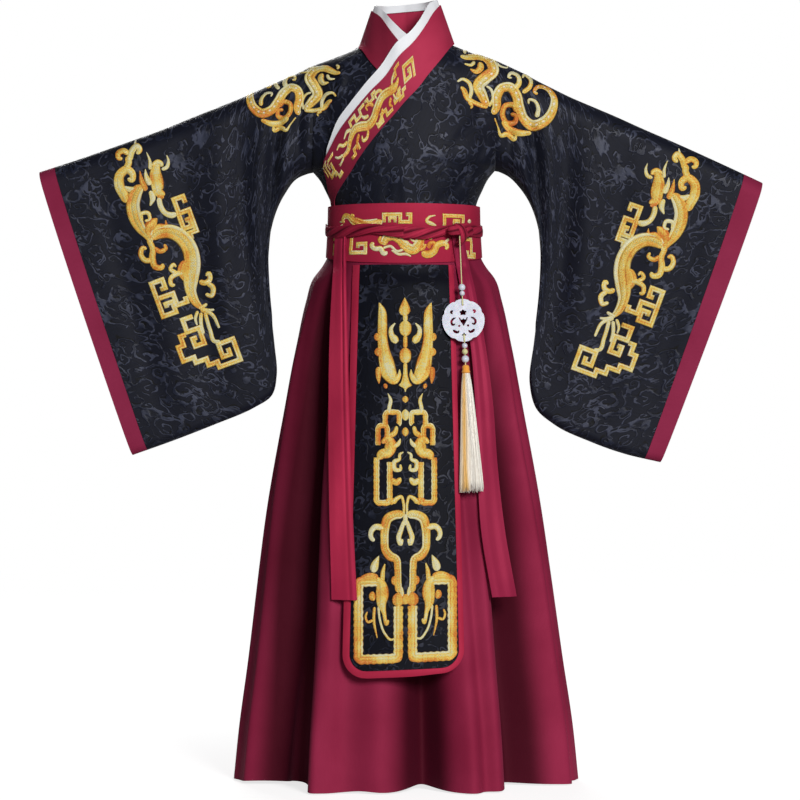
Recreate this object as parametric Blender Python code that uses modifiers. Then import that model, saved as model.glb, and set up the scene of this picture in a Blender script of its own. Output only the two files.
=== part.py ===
"""Hanfu robe with bell sleeves, crossed collar, flared skirt, belt, apron and waist pendant.

Metres, +Z up, front towards -Y, +X to the viewer's right. The origin is between the shoulders at
the foot of the neck, where the wearer's shoulders hold the robe up.
"""
import math

import bmesh
import bpy
import numpy as np
from mathutils import Matrix, Vector

MM = 0.001
CLOTH = 1.5 * MM            # wall of the body cloth
SEAM = 0.5 * MM             # gap between two pieces sewn edge to edge
SEAM_SETBACK = 0.55 * MM    # front and back each keep this far from the shoulder and side seams
LAYER = 0.9 * MM            # gap between one layer and the next

WAIST_Z = -0.315            # lower edge of the bodice, inside the belt
SIDE_DROP = 0.32            # shoulder point to waist
SHOULDER_ROUND = 0.058      # depth below the shoulder line over which the body reaches full depth
ARMPIT = 0.69               # share of the side taken by the armhole
ARMHOLE_HALF = (0.158, 0.164)           # half width of the body at the shoulder and at the armpit
ARM_DEPTH = 0.052           # half thickness of the sleeve at the armhole
BAND_LEVEL = 1.8 * MM       # underside of the crossed band, above the bodice surface
UNDER_BAND = -8.0 * MM      # underside of the under-lap's band
UNDER_PANEL = -9.8 * MM     # outer face of the under-lap's cloth
UNDER_GUARD = -11.2 * MM
NECK_TUCK = 0.18            # share of the band's width that covers the edge of the front

BELT_TOP = -0.2925
BELT_BOTTOM = -0.366        # behind
BELT_DROOP = 0.032          # how much lower the bottom edge hangs in front
BELT_WALL = 1.5 * MM
BELT_FLARE = 4.0 * MM       # how much wider the belt is at its bottom
BELT_HALF = 0.1353          # half width inside, at the top
CUFF_START = 0.9655         # share of the sleeve's length where the cuff band begins

APRON_TOP = -0.4005
APRON_BOTTOM = -1.102
APRON_HALF_TOP = 0.078
APRON_HALF_BOTTOM = 0.0945
APRON_CORNER = 0.030
BORDER = 0.0125
APRON_WALL = 2.0 * MM
APRON_SWING = 0.012         # how much further the apron stands off the skirt at its bottom
RIBBON_LIFT = 2.4 * MM      # off the belt's inner face
RIBBON_SWING = 7.2 * MM     # off the skirt's ring

WRAP_DEPTH = (5.0 * MM, 2.5 * MM)       # half depth of the twisted tie in front and at the sides
WRAP_HEIGHT = 10.5 * MM     # its half height
WRAP_DOWN = 0.47            # where it lies between the belt's edges
KNOT_THETA = 0.668          # where the knot sits round the belt, radians from the front
KNOT_SIZE = (0.0165, 0.0095, 0.0150)
KNOT_LEVEL = BELT_WALL + LAYER + 7.4 * MM + KNOT_SIZE[1]

CORD_D = 2.0 * MM
DISC_RADIUS = 0.0370
DISC_THICK = 0.0040
LOBE = 0.035                # how far the edge's lobes stand out, as a share of the radius
DISC_PLACE = Vector((0.1035, -0.1475, -0.5000))
PENDANT_DOWN = Vector((0.045, -0.139, -0.989)).normalized()     # it leans on the skirt's slope

BLACK = (0.018, 0.020, 0.028)
CRIMSON = (0.30, 0.022, 0.055)
WHITE = (0.78, 0.79, 0.82)
JADE = (0.82, 0.86, 0.84)
STRAW = (0.80, 0.78, 0.45)
ORANGE = (0.85, 0.36, 0.06)
CREAM = (0.88, 0.80, 0.64)

SHOULDER_TILT = 0.030       # the shoulder line rises a little to +X

# Shoulder line seen from the front: distance from the middle, height at the front, at the back.
SHOULDER = (
    # x,     front,   back
    (0.000, 0.014, 0.052),
    (0.050, 0.010, 0.034),
    (0.085, -0.003, -0.003),
    (0.120, -0.018, -0.018),
    (0.158, -0.031, -0.031),
    (0.175, -0.037, -0.037),
)
# The body below the shoulder line, from the shoulder (0) to the waist (1).
BODY = (
    # down, half_width, front, back
    (0.00, 0.1580, 0.070, 0.066),
    (0.20, 0.1590, 0.086, 0.083),
    (0.45, 0.1610, 0.107, 0.098),
    (0.69, 0.1640, 0.114, 0.101),
    (0.75, 0.1510, 0.1135, 0.1005),
    (0.82, 0.1410, 0.1115, 0.1000),
    (0.91, 0.1302, 0.1075, 0.0985),
    (1.00, 0.1285, 0.1060, 0.0980),
)
# Crossed band, from the middle of the back round the neck to the front and down to the waist.
# Stations whose inner edge lies on the body take its depth from the body.
COLLAR = (
    # outer_x, outer_y, outer_z, inner_x, inner_y, inner_z
    (0.000, 0.066, 0.012, 0.000, 0.056, 0.068),
    (0.060, 0.047, 0.006, 0.043, 0.042, 0.066),
    (0.087, 0.001, -0.001, 0.065, 0.001, 0.062),
    (0.080, None, -0.012, 0.060, -0.021, 0.056),
    (0.065, None, -0.034, 0.048, -0.040, 0.045),
    (0.040, None, -0.061, 0.031, -0.062, 0.025),
    (0.022, None, -0.082, 0.010, -0.075, 0.003),
    (0.000, None, -0.106, -0.011, -0.082, -0.018),
    (-0.016, None, -0.126, -0.036, None, -0.056),
    (-0.045, None, -0.158, -0.067, None, -0.088),
    (-0.068, None, -0.187, -0.094, None, -0.121),
    (-0.092, None, -0.219, -0.116, None, -0.151),
    (-0.109, None, -0.247, -0.130, None, -0.182),
    (-0.119, None, -0.268, -0.138, None, -0.205),
    (-0.122, None, -0.288, -0.1395, None, -0.235),
    (-0.121, None, -0.310, -0.1280, None, -0.300),
)
FREE_STATIONS = 7           # up to this station the band stands off the body
BLEND_STATIONS = 2
BAND_WIDTH = 0.058
GUARD_WIDTH = 0.017
GUARD_UNDER = 0.004         # how far the guard reaches under the band
GUARD_END = 13.0            # station where the over-lap's guard is lost behind the band

# Sleeve seen from the front, root to cuff: the fold along the arm and the lower edge, from the middle.
SLEEVE_LEFT = (
    # along, top_x, top_z, low_x, low_z
    (0.00, 0.1580, -0.0357, 0.1640, -0.2285),
    (0.05, 0.1700, -0.0410, 0.1930, -0.2410),
    (0.11, 0.1840, -0.0480, 0.2150, -0.2690),
    (0.17, 0.1970, -0.0540, 0.2300, -0.3000),
    (0.25, 0.2160, -0.0620, 0.2430, -0.3510),
    (0.33, 0.2380, -0.0720, 0.2470, -0.4100),
    (0.41, 0.2660, -0.0840, 0.2420, -0.4650),
    (0.50, 0.3030, -0.1000, 0.2330, -0.5400),
    (0.58, 0.3430, -0.1160, 0.2290, -0.5950),
    (0.64, 0.3860, -0.1330, 0.2380, -0.6310),
    (0.70, 0.4300, -0.1510, 0.2700, -0.6530),
    (0.80, 0.5020, -0.1770, 0.3430, -0.6840),
    (0.90, 0.5790, -0.2040, 0.4150, -0.7120),
    (1.00, 0.6550, -0.2290, 0.4880, -0.7380),
)
SLEEVE_RIGHT = (
    # along, top_x, top_z, low_x, low_z
    (0.00, 0.1580, -0.0263, 0.1640, -0.2255),
    (0.05, 0.1700, -0.0310, 0.1880, -0.2370),
    (0.11, 0.1840, -0.0370, 0.2130, -0.2630),
    (0.17, 0.1970, -0.0430, 0.2300, -0.2930),
    (0.25, 0.2160, -0.0520, 0.2450, -0.3450),
    (0.33, 0.2380, -0.0640, 0.2490, -0.4050),
    (0.41, 0.2660, -0.0780, 0.2440, -0.4650),
    (0.50, 0.3030, -0.0960, 0.2330, -0.5430),
    (0.58, 0.3430, -0.1130, 0.2260, -0.6080),
    (0.64, 0.3830, -0.1300, 0.2376, -0.6540),
    (0.70, 0.4250, -0.1490, 0.2700, -0.6830),
    (0.80, 0.4940, -0.1790, 0.3350, -0.7140),
    (0.90, 0.5690, -0.2130, 0.3970, -0.7360),
    (1.00, 0.6440, -0.2480, 0.4610, -0.7510),
)
SLEEVE_TOP_RADIUS = (0.050, 0.031)      # along the arm, at the root and at the cuff
SLEEVE_LOW_HALF = (0.030, 0.011)        # half thickness near the lower edge
SLEEVE_LOW_RADIUS = 0.014

# Skirt rings before folding.
SKIRT = (
    # z,      half_width, front, back
    (-0.325, 0.1345, 0.1110, 0.1030),
    (-0.400, 0.1386, 0.1151, 0.1071),
    (-0.416, 0.1480, 0.1190, 0.1110),
    (-0.434, 0.1630, 0.1290, 0.1200),
    (-0.470, 0.1760, 0.1390, 0.1310),
    (-0.540, 0.1930, 0.1520, 0.1460),
    (-0.675, 0.2170, 0.1710, 0.1680),
    (-0.800, 0.2380, 0.1860, 0.1830),
    (-0.945, 0.2590, 0.2010, 0.1980),
    (-1.100, 0.2810, 0.2150, 0.2120),
    (-1.220, 0.2990, 0.2260, 0.2220),
    (-1.316, 0.3090, 0.2320, 0.2300),
)
# Heights of the skirt's rows, closer together where it springs from the belt.
SKIRT_ROWS = (-0.375, -0.400, -0.409, -0.419, -0.434, -0.456, -0.495, -0.560, -0.660, -0.800, -0.950,
              -1.110, -1.316)
APRON_ROWS = (-0.4005, -0.406, -0.412, -0.419, -0.427, -0.438, -0.452, -0.470, -0.495, -0.530, -0.580,
              -0.660, -0.760, -0.860, -0.960, -1.072, -1.080, -1.087, -1.093, -1.098, -1.102)
BOTTOM_STEPS = 4            # columns in half of the apron's bottom edge
# Skirt folds: middle and half width in degrees round the body, how far the hem stands out (-: in),
# and where down the skirt the fold begins and is full.
FOLDS = (
    # angle, half_width, out, begins, full
    (-54.0, 9.0, -0.052, -0.42, -0.95),
    (-34.0, 12.0, 0.020, -0.50, -1.25),
    (-4.0, 17.0, -0.034, -0.55, -1.25),
    (24.0, 11.0, 0.007, -0.50, -1.20),
    (50.0, 9.0, -0.036, -0.42, -0.90),
    (70.0, 9.0, 0.008, -0.45, -1.00),
    (-78.0, 10.0, -0.008, -0.80, -1.25),
    (108.0, 11.0, -0.024, -0.45, -1.15),
    (132.0, 11.0, 0.014, -0.45, -1.15),
    (158.0, 12.0, -0.030, -0.45, -1.20),
    (-176.0, 12.0, 0.016, -0.50, -1.20),
    (-150.0, 12.0, -0.032, -0.45, -1.15),
    (-122.0, 11.0, 0.014, -0.45, -1.20),
    (-102.0, 9.0, -0.020, -0.50, -1.15),
)

# Free ends of the tie: height of the middle line, its distance to the right, and the half width.
RIBBON_LEFT = (
    # z,      x,       half
    (-0.3520, -0.1120, 0.0100),
    (-0.372, -0.1130, 0.0105),
    (-0.440, -0.1140, 0.0125),
    (-0.520, -0.1145, 0.0155),
    (-0.650, -0.1135, 0.0180),
    (-0.820, -0.1095, 0.0200),
    (-0.984, -0.1030, 0.0220),
)
RIBBON_RIGHT = (
    # z,      x,      half
    (-0.3520, 0.0950, 0.0105),
    (-0.372, 0.0980, 0.0110),
    (-0.447, 0.1120, 0.0125),
    (-0.535, 0.1280, 0.0130),
    (-0.640, 0.1390, 0.0155),
    (-0.760, 0.1450, 0.0180),
    (-0.866, 0.1540, 0.0210),
    (-0.981, 0.1735, 0.0215),
)
# Pierced holes of the disc: place as angle and radius from its middle, and half sizes.
HOLES = (
    # angle, radius, size_x, size_z
    (90.0, 0.0315, 0.0020, 0.0020),
    (90.0, 0.0000, 0.0050, 0.0040),
    (45.0, 0.0160, 0.0035, 0.0060),
    (135.0, 0.0160, 0.0035, 0.0060),
    (225.0, 0.0160, 0.0035, 0.0060),
    (315.0, 0.0160, 0.0035, 0.0060),
    (90.0, 0.0190, 0.0040, 0.0030),
    (270.0, 0.0200, 0.0045, 0.0030),
    (0.0, 0.0240, 0.0028, 0.0050),
    (180.0, 0.0240, 0.0028, 0.0050),
)


def smooth_interp(x, xs, ys):
    """Catmull-Rom curve through (xs, ys), read at x."""
    xs = np.asarray(xs, float)
    ys = np.asarray(ys, float)
    slope = np.gradient(ys, xs)
    x = np.clip(x, xs[0], xs[-1])
    i = np.clip(np.searchsorted(xs, x, side="right") - 1, 0, len(xs) - 2)
    step = xs[i + 1] - xs[i]
    t = (x - xs[i]) / step
    return (ys[i] * (1 + 2 * t) * (1 - t) ** 2 + slope[i] * step * t * (1 - t) ** 2
            + ys[i + 1] * t * t * (3 - 2 * t) + slope[i + 1] * step * t * t * (t - 1))


def ramp(x, start, full):
    """0 before start, 1 past full, smooth between."""
    t = np.clip((x - start) / (full - start), 0.0, 1.0)
    return t * t * (3 - 2 * t)


def rounded(t):
    """Quarter circle: 0 at 0, 1 from 1 on."""
    return np.sqrt(np.clip(1 - (1 - np.clip(t, 0, 1)) ** 2, 0, 1))


def read_rows(rows, v):
    """Height of row v, from the first (0) to the last (1)."""
    return np.interp(v * (len(rows) - 1), np.arange(len(rows)), rows)


def stack(x, y, z):
    return np.stack(np.broadcast_arrays(x, y, z), axis=-1)


# ---------------------------------------------------------------- the body
BODY_T = np.array(BODY).T
SHOULDER_T = np.array(SHOULDER).T


def shoulder_z(x, back):
    return smooth_interp(np.abs(x), SHOULDER_T[0], SHOULDER_T[2 if back else 1]) + SHOULDER_TILT * x


def body_half(down):
    """Half width of the body: straight along the armhole, then in to the waist."""
    armhole = ARMHOLE_HALF[0] + (ARMHOLE_HALF[1] - ARMHOLE_HALF[0]) * down / ARMPIT
    lower = BODY_T[0] >= ARMPIT
    return np.where(down < ARMPIT, armhole, smooth_interp(down, BODY_T[0][lower], BODY_T[1][lower]))


def body_point(theta, down, level=0.0, back=False):
    """Bodice surface: theta from 0 in the middle to +-90 degrees at the side seam."""
    half = body_half(down)
    x = half * np.sin(theta)
    z_top = shoulder_z(x, back)
    depth = smooth_interp(down, BODY_T[0], BODY_T[3 if back else 2])
    depth = depth * rounded(down * SIDE_DROP / SHOULDER_ROUND)
    arm = np.clip(down / ARMPIT, 0, 1)
    edge = ARM_DEPTH * np.sqrt(np.clip(1 - np.abs(2 * arm - 1) ** 3, 0, 1))
    power = 1.0 - 0.5 * ramp(down, 0.35, ARMPIT)
    y = SEAM_SETBACK + edge + (depth - edge) * np.clip(np.abs(np.cos(theta)), 0, 1) ** (2 * power)
    grow = level / np.maximum(half, 0.05)
    z = z_top * (1 - down) + WAIST_Z * down + level * (1 - rounded(down * SIDE_DROP / SHOULDER_ROUND))
    sign = 1.0 if back else -1.0
    y = y * (1 + grow) + level * (1 - np.abs(np.sin(theta))) * 0.45 * ramp(down, 0.0, 0.1)
    return stack(x * (1 + grow), sign * y, z)


def body_coords(x, z):
    """The front surface's theta and down under the point (x, z) of the front view."""
    z_top = shoulder_z(x, False)
    down = np.clip((z_top - z) / (z_top - WAIST_Z), 0, 1)
    half = body_half(down)
    return np.arcsin(np.clip(x / half, -1, 1)), down


# ---------------------------------------------------------------- the collar
def collar_stations(side):
    """Outer and inner edge of the band at each station, on the body where they lie on it."""
    outer, inner, outer_uv, inner_uv = [], [], [], []
    for outer_x, outer_y, outer_z, inner_x, inner_y, inner_z in COLLAR:
        edge_uv = body_coords(side * outer_x, outer_z)
        lip_uv = body_coords(side * inner_x, inner_z)
        rise = side * SHOULDER_TILT
        edge = (side * outer_x, outer_y, outer_z + rise * outer_x)
        lip = (side * inner_x, inner_y, inner_z + rise * inner_x)
        edge = body_point(*edge_uv) if outer_y is None else np.array(edge)
        lip = body_point(*lip_uv) if inner_y is None else np.array(lip)
        outer.append(edge)
        inner.append(lip)
        outer_uv.append(edge_uv)
        inner_uv.append(lip_uv)
    return [np.array(rows, float).reshape(len(COLLAR), -1) for rows in (outer, inner, outer_uv, inner_uv)]


STATIONS = {side: collar_stations(side) for side in (1, -1)}


def along(rows, t):
    """Smooth curve through the stations' rows, read at station number t."""
    numbers = np.arange(len(rows))
    return np.stack([smooth_interp(t, numbers, rows[:, k]) for k in range(rows.shape[1])], axis=-1)


def collar_point(t, across, side, level):
    """Band surface: t counts stations from the middle of the back, across runs outer to inner."""
    outer, inner, outer_uv, inner_uv = STATIONS[side]
    across = np.asarray(across)[..., None]
    free = along(outer, t) * (1 - across) + along(inner, t) * across
    radial = free * np.array((1.0, 1.0, 0.0)) + np.array((0.0, 0.0, 0.06))
    length = np.linalg.norm(radial, axis=-1, keepdims=True)
    free = free + radial / length * np.asarray(level)[..., None]
    under = body_point(*body_coords(free[..., 0], free[..., 2]), level)
    in_front = (np.asarray(t) > 2.1) & (free[..., 1] < 0)
    free[..., 1] = np.where(in_front, np.minimum(free[..., 1], under[..., 1]), free[..., 1])
    uv = along(outer_uv, t) * (1 - across) + along(inner_uv, t) * across
    laid = body_point(uv[..., 0], uv[..., 1], level)
    on_body = ramp(t, FREE_STATIONS, FREE_STATIONS + BLEND_STATIONS)[..., None]
    return free * (1 - on_body) + laid * on_body


def front_edge(down, side, tuck=NECK_TUCK):
    """Theta of the front's crossed edge at each height, tucked under the band."""
    t = np.linspace(2.0, len(COLLAR) - 1.0, 200)
    outer, inner, outer_uv, inner_uv = STATIONS[side]
    uv = along(outer_uv, t) * (1 - tuck) + along(inner_uv, t) * tuck
    uv[:, 1] = np.maximum.accumulate(uv[:, 1])
    return np.interp(down, uv[:, 1] - uv[0, 1] * (1 - uv[:, 1]), uv[:, 0])


# ---------------------------------------------------------------- the sleeves
def sleeve_point(s, turn, side, level=0.0):
    """Sleeve ring at s from root (0) to cuff (1); turn 0-1 runs down the front, 1-2 up the back."""
    table = np.array(SLEEVE_LEFT if side < 0 else SLEEVE_RIGHT).T
    top_x, top_z, low_x, low_z = (smooth_interp(s, table[0], table[k]) for k in (1, 2, 3, 4))
    front = turn <= 1.0
    share = np.where(front, turn, 2.0 - turn)
    share = (1 - np.cos(np.pi * share)) / 2
    length = np.hypot(low_x - top_x, low_z - top_z)
    down = share * length
    arm = SLEEVE_TOP_RADIUS[0] + (SLEEVE_TOP_RADIUS[1] - SLEEVE_TOP_RADIUS[0]) * ramp(s, 0, 1)
    low = SLEEVE_LOW_HALF[0] + (SLEEVE_LOW_HALF[1] - SLEEVE_LOW_HALF[0]) * ramp(s, 0, 0.5)
    hanging = (arm + (low - arm) * ramp(share, 0.05, 0.9)) * rounded(down / arm)
    hanging = hanging * rounded((length - down) / SLEEVE_LOW_RADIUS)
    root = ARM_DEPTH * np.sqrt(np.clip(1 - np.abs(2 * share - 1) ** 3, 0, 1))
    settle = ramp(s, 0.0, 0.30)
    half = root * (1 - settle) + hanging * settle + level
    x = top_x + (low_x - top_x) * share
    z = top_z + (low_z - top_z) * share + level * np.cos(np.pi * share)
    return stack(side * x, np.where(front, -1.0, 1.0) * half, z)


# ---------------------------------------------------------------- belt and skirt
def belt_flare(down):
    return smooth_interp(down, (0.0, 0.4, 1.0), (0.0002, 0.0010, BELT_FLARE))


def belt_point(theta, down, level=0.0):
    """Belt surface: theta round the body from the front, down from its top edge to its bottom edge."""
    z = BELT_TOP + (BELT_BOTTOM - BELT_TOP) * down - BELT_DROOP * down * (1 + np.cos(theta)) / 2
    flare = belt_flare(down)
    depth = np.where(np.cos(theta) > 0, 0.1118, 0.1038) + flare + level
    return stack((BELT_HALF + flare + level) * np.sin(theta), -depth * np.cos(theta), z)


SKIRT_T = np.array(SKIRT).T[:, ::-1]


def skirt_ring(z):
    return [smooth_interp(z, SKIRT_T[0], SKIRT_T[k]) for k in (1, 2, 3)]


def belt_rise(theta, z):
    """How much higher the skirt springs from the belt at theta than it does in front."""
    return BELT_DROOP * (1 - np.cos(theta)) / 2 * (1 - ramp(-z, 0.40, 0.56))


def skirt_folds(angle, z):
    """How far the folds stand out of the plain ring."""
    out = np.zeros(np.broadcast(angle, z).shape)
    for middle, half_width, height, begins, full in FOLDS:
        turn = (angle - middle + 180.0) % 360.0 - 180.0
        out = out + height * ramp(-z, -begins, -full) * np.exp(-(turn / half_width) ** 2)
    return out


def skirt_point(angle, z, level=0.0):
    """Skirt surface: angle in degrees from the front, z down from the waist to the hem."""
    half, front, back = skirt_ring(z)
    theta = np.radians(angle)
    depth = np.where(np.cos(theta) > 0, front, back)
    out = skirt_folds(angle, z) + level
    return stack((half + out) * np.sin(theta), -(depth + out) * np.cos(theta), z + belt_rise(theta, z))


def over_skirt(x, z, lift, swing):
    """Point at (x, z) that hangs before the skirt: lift clears its ring, swing grows to the hem."""
    theta = np.arcsin(np.clip(np.abs(x) / skirt_ring(z)[0], 0, 0.95))
    half, front, _ = skirt_ring(z - belt_rise(theta, z))
    share = np.clip(np.abs(x) / half, 0, 0.95)
    y = -front * np.sqrt(1 - share ** 2) - lift - swing * ramp(-z, 0.40, 1.10)
    return stack(x, y, z)


def ribbon_point(table, across, down):
    rows = np.array(table).T
    z_ends = rows[0][0], rows[0][-1]
    z = z_ends[0] + (z_ends[1] - z_ends[0]) * down
    middle = smooth_interp(-z, -rows[0], rows[1])
    half = smooth_interp(-z, -rows[0], rows[2])
    point = over_skirt(middle + across * half, z, RIBBON_SWING, 0.016)
    belt_down = np.clip((BELT_TOP - z) / (BELT_TOP - BELT_BOTTOM), 0, 1)
    belt_half = BELT_HALF + belt_flare(belt_down) + RIBBON_LIFT
    turn = np.arcsin(np.clip((middle + across * half) / belt_half, -1, 1))
    over_belt = belt_point(turn, belt_down, RIBBON_LIFT)
    blend = ramp(z, -0.415, -0.398)
    point[..., 1] = point[..., 1] * (1 - blend) + over_belt[..., 1] * blend
    return point


def apron_half(z):
    share = (z - APRON_TOP) / (APRON_BOTTOM - APRON_TOP)
    return APRON_HALF_TOP + (APRON_HALF_BOTTOM - APRON_HALF_TOP) * share


def corner_turn(z):
    """How far round its bottom corner the apron's outline has turned at height z."""
    return np.arcsin(np.clip(1 - (z - APRON_BOTTOM) / APRON_CORNER, 0, 1))


def apron_outline(t, offset):
    """U from the top left down, along the bottom and up to the top right, offset outwards."""
    rows = len(APRON_ROWS) - 1
    place = (1 - np.abs(2 * t - 1)) * (rows + BOTTOM_STEPS)
    z = read_rows(APRON_ROWS, np.minimum(place / rows, 1))
    turn = corner_turn(z)
    half = apron_half(z) - APRON_CORNER * (1 - np.cos(turn)) + offset * np.cos(turn)
    half = half * (1 - np.clip((place - rows) / BOTTOM_STEPS, 0, 1))
    return np.where(t > 0.5, half, -half), z - offset * np.sin(turn)


def apron_lift(z):
    """How far the apron's face stands off the skirt's ring: close under the belt, freer below."""
    return 3.0 * MM + 2.5 * MM * ramp(-z, 0.402, 0.440)


# ---------------------------------------------------------------- making pieces
def material(name, colour, roughness, metallic=0.0):
    found = bpy.data.materials.get(name)
    if found:
        return found
    made = bpy.data.materials.new(name)
    made.use_nodes = True
    shader = made.node_tree.nodes["Principled BSDF"]
    shader.inputs["Base Color"].default_value = (*colour, 1.0)
    shader.inputs["Roughness"].default_value = roughness
    shader.inputs["Metallic"].default_value = metallic
    return made


def finish(name, mesh, look, collection):
    made = bpy.data.objects.new(name, mesh)
    mesh.materials.append(look)
    collection.objects.link(made)
    return made


def cloth(name, surface, columns, rows, look, collection, wall=CLOTH, core=(0.0, 0.0), ring=False, grow=-1.0):
    """Cloth wall: a grid of columns by rows laid on surface(u, v), u and v from 0 to 1, then thickened."""
    shell = bmesh.new()
    bmesh.ops.create_grid(shell, x_segments=columns, y_segments=rows, size=0.5)
    places = np.array([vertex.co[:] for vertex in shell.verts])
    for vertex, point in zip(shell.verts, surface(places[:, 0] + 0.5, places[:, 1] + 0.5)):
        vertex.co = point
    if ring:
        bmesh.ops.remove_doubles(shell, verts=shell.verts, dist=0.01 * MM)
    shell.normal_update()
    middle = Vector((core[0], core[1], 0.0))
    facing = 0.0
    for face in shell.faces:
        out = face.calc_center_median() - middle
        facing += face.calc_area() * face.normal.dot(Vector((out.x, out.y, 0.0)).normalized())
    if facing < 0:
        bmesh.ops.reverse_faces(shell, faces=shell.faces)
    mesh = bpy.data.meshes.new(name)
    shell.to_mesh(mesh)
    shell.free()
    made = finish(name, mesh, look, collection)
    thick = made.modifiers.new("wall", "SOLIDIFY")
    thick.thickness = wall
    thick.offset = grow
    thick.use_even_offset = False
    return made


def turned(name, profile, place, down, look, collection, steps=16):
    """Turned piece: (radius, height) pairs from top to bottom, spun about an axis that runs down."""
    mesh = bpy.data.meshes.new(name)
    closed = profile[0][0] > 0
    edges = [(k, k + 1) for k in range(len(profile) - 1)]
    if closed:
        edges.append((len(profile) - 1, 0))
    mesh.from_pydata([(radius, 0.0, height) for radius, height in profile], edges, [])
    made = finish(name, mesh, look, collection)
    lean = Vector((0.0, 0.0, -1.0)).rotation_difference(down)
    made.matrix_world = Matrix.Translation(place) @ lean.to_matrix().to_4x4()
    spin = made.modifiers.new("turned", "SCREW")
    spin.steps = steps
    spin.render_steps = steps
    spin.use_merge_vertices = True
    spin.merge_threshold = 0.00001
    return made


def tube(name, points, diameter, look, collection):
    curve = bpy.data.curves.new(name, "CURVE")
    curve.dimensions = "3D"
    curve.bevel_depth = diameter / 2
    curve.bevel_resolution = 2
    curve.use_fill_caps = True
    spline = curve.splines.new("POLY")
    spline.points.add(len(points) - 1)
    for spot, point in zip(spline.points, points):
        spot.co = (*point, 1.0)
    made = bpy.data.objects.new(name, curve)
    curve.materials.append(look)
    collection.objects.link(made)
    return made


# ---------------------------------------------------------------- the robe's pieces
def neckline_down(x):
    """Where the back piece's edge lies at the neck, as a share of the way to the waist."""
    return 0.112 * np.sqrt(np.clip(1 - (x / 0.086) ** 2, 0, 1))


def make_bodice(robe, black):
    def back(u, v):
        theta = (u * 2 - 1) * math.pi / 2
        start = neckline_down(0.158 * np.sin(theta))
        return body_point(theta, start + (1 - start) * v ** 1.35, back=True)

    def over(u, v):
        down = v ** 1.35
        edge = front_edge(down, 1)
        return body_point(edge + (math.pi / 2 - edge) * u, down)

    def under(u, v):
        down = v ** 1.35
        edge = front_edge(down, -1)
        seam = -math.pi / 2
        theta = seam + (edge - seam) * u
        crossing = np.maximum(front_edge(down, 1, 1.45) - seam, 0.06)
        level = UNDER_PANEL * ramp((theta - seam) / crossing, 0.0, 1.0)
        return body_point(theta, down, level)

    cloth("bodice_back", back, 18, 11, black, robe)
    cloth("bodice_front_over", over, 18, 13, black, robe)
    cloth("bodice_front_under", under, 14, 12, black, robe)


def make_sleeves(robe, black, crimson):
    root = 2.5 * SEAM / 0.24    # the sleeve's upper edge stops this share short of the body
    for name, side in (("left", -1), ("right", 1)):
        def sleeve(u, v, side=side):
            return sleeve_point(root + v * (CUFF_START - SEAM - root), u * 2, side)

        def cuff(u, v, side=side):
            return sleeve_point(CUFF_START + v * (1 - CUFF_START), u * 2, side)

        core = (side * 0.35, 0.0)
        sleeve_piece = cloth("sleeve_" + name, sleeve, 20, 12, black, robe, core=core, ring=True)
        cuff_piece = cloth("cuff_" + name, cuff, 20, 1, crimson, robe, core=core, ring=True)
        for piece in (sleeve_piece, cuff_piece):
            face_out(piece, side)


def face_out(piece, side):
    """Turn a sleeve's faces out: those of its front must look towards -Y."""
    shell = bmesh.new()
    shell.from_mesh(piece.data)
    shell.normal_update()
    facing = sum(face.normal.y * face.calc_area() for face in shell.faces if face.calc_center_median().y < 0)
    if facing > 0:
        bmesh.ops.reverse_faces(shell, faces=shell.faces)
    shell.to_mesh(piece.data)
    shell.free()


def make_collar(robe, crimson, white):
    last = len(COLLAR) - 1.0

    def strip(u, across, over_level, under_level):
        """u runs from the over-lap's end round the neck (0.5) to the under-lap's end."""
        t = np.abs(u - 0.5) * 2 * last
        level = over_level + (under_level - over_level) * ramp(u, 0.42, 0.55)
        over = collar_point(t, across, 1, level)
        under = collar_point(t, across, -1, level)
        return np.where((u < 0.5)[..., None], over, under)

    def band(u, v):
        return strip(u, v, BAND_LEVEL, UNDER_BAND)

    def guard(u, v):
        reach = GUARD_END / last
        across = 1 + (GUARD_WIDTH * v - GUARD_UNDER * (1 - v)) / BAND_WIDTH
        return strip(0.5 + reach * (u - 0.5), across, -CLOTH, UNDER_GUARD)

    cloth("collar_band", band, 60, 3, crimson, robe, grow=1.0)
    cloth("collar_guard", guard, 52, 1, white, robe, grow=1.0)


def make_skirt(robe, crimson):
    gap = math.degrees(SEAM / 0.2)

    def piece(first, last):
        def surface(u, v):
            z = read_rows(SKIRT_ROWS, v)
            return skirt_point(first + (last - first) * u, z)
        return surface

    cloth("skirt_front", piece(-90 + gap, 90 - gap), 30, len(SKIRT_ROWS) - 1, crimson, robe)
    cloth("skirt_back", piece(90 + gap, 270 - gap), 24, len(SKIRT_ROWS) - 1, crimson, robe)


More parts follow.
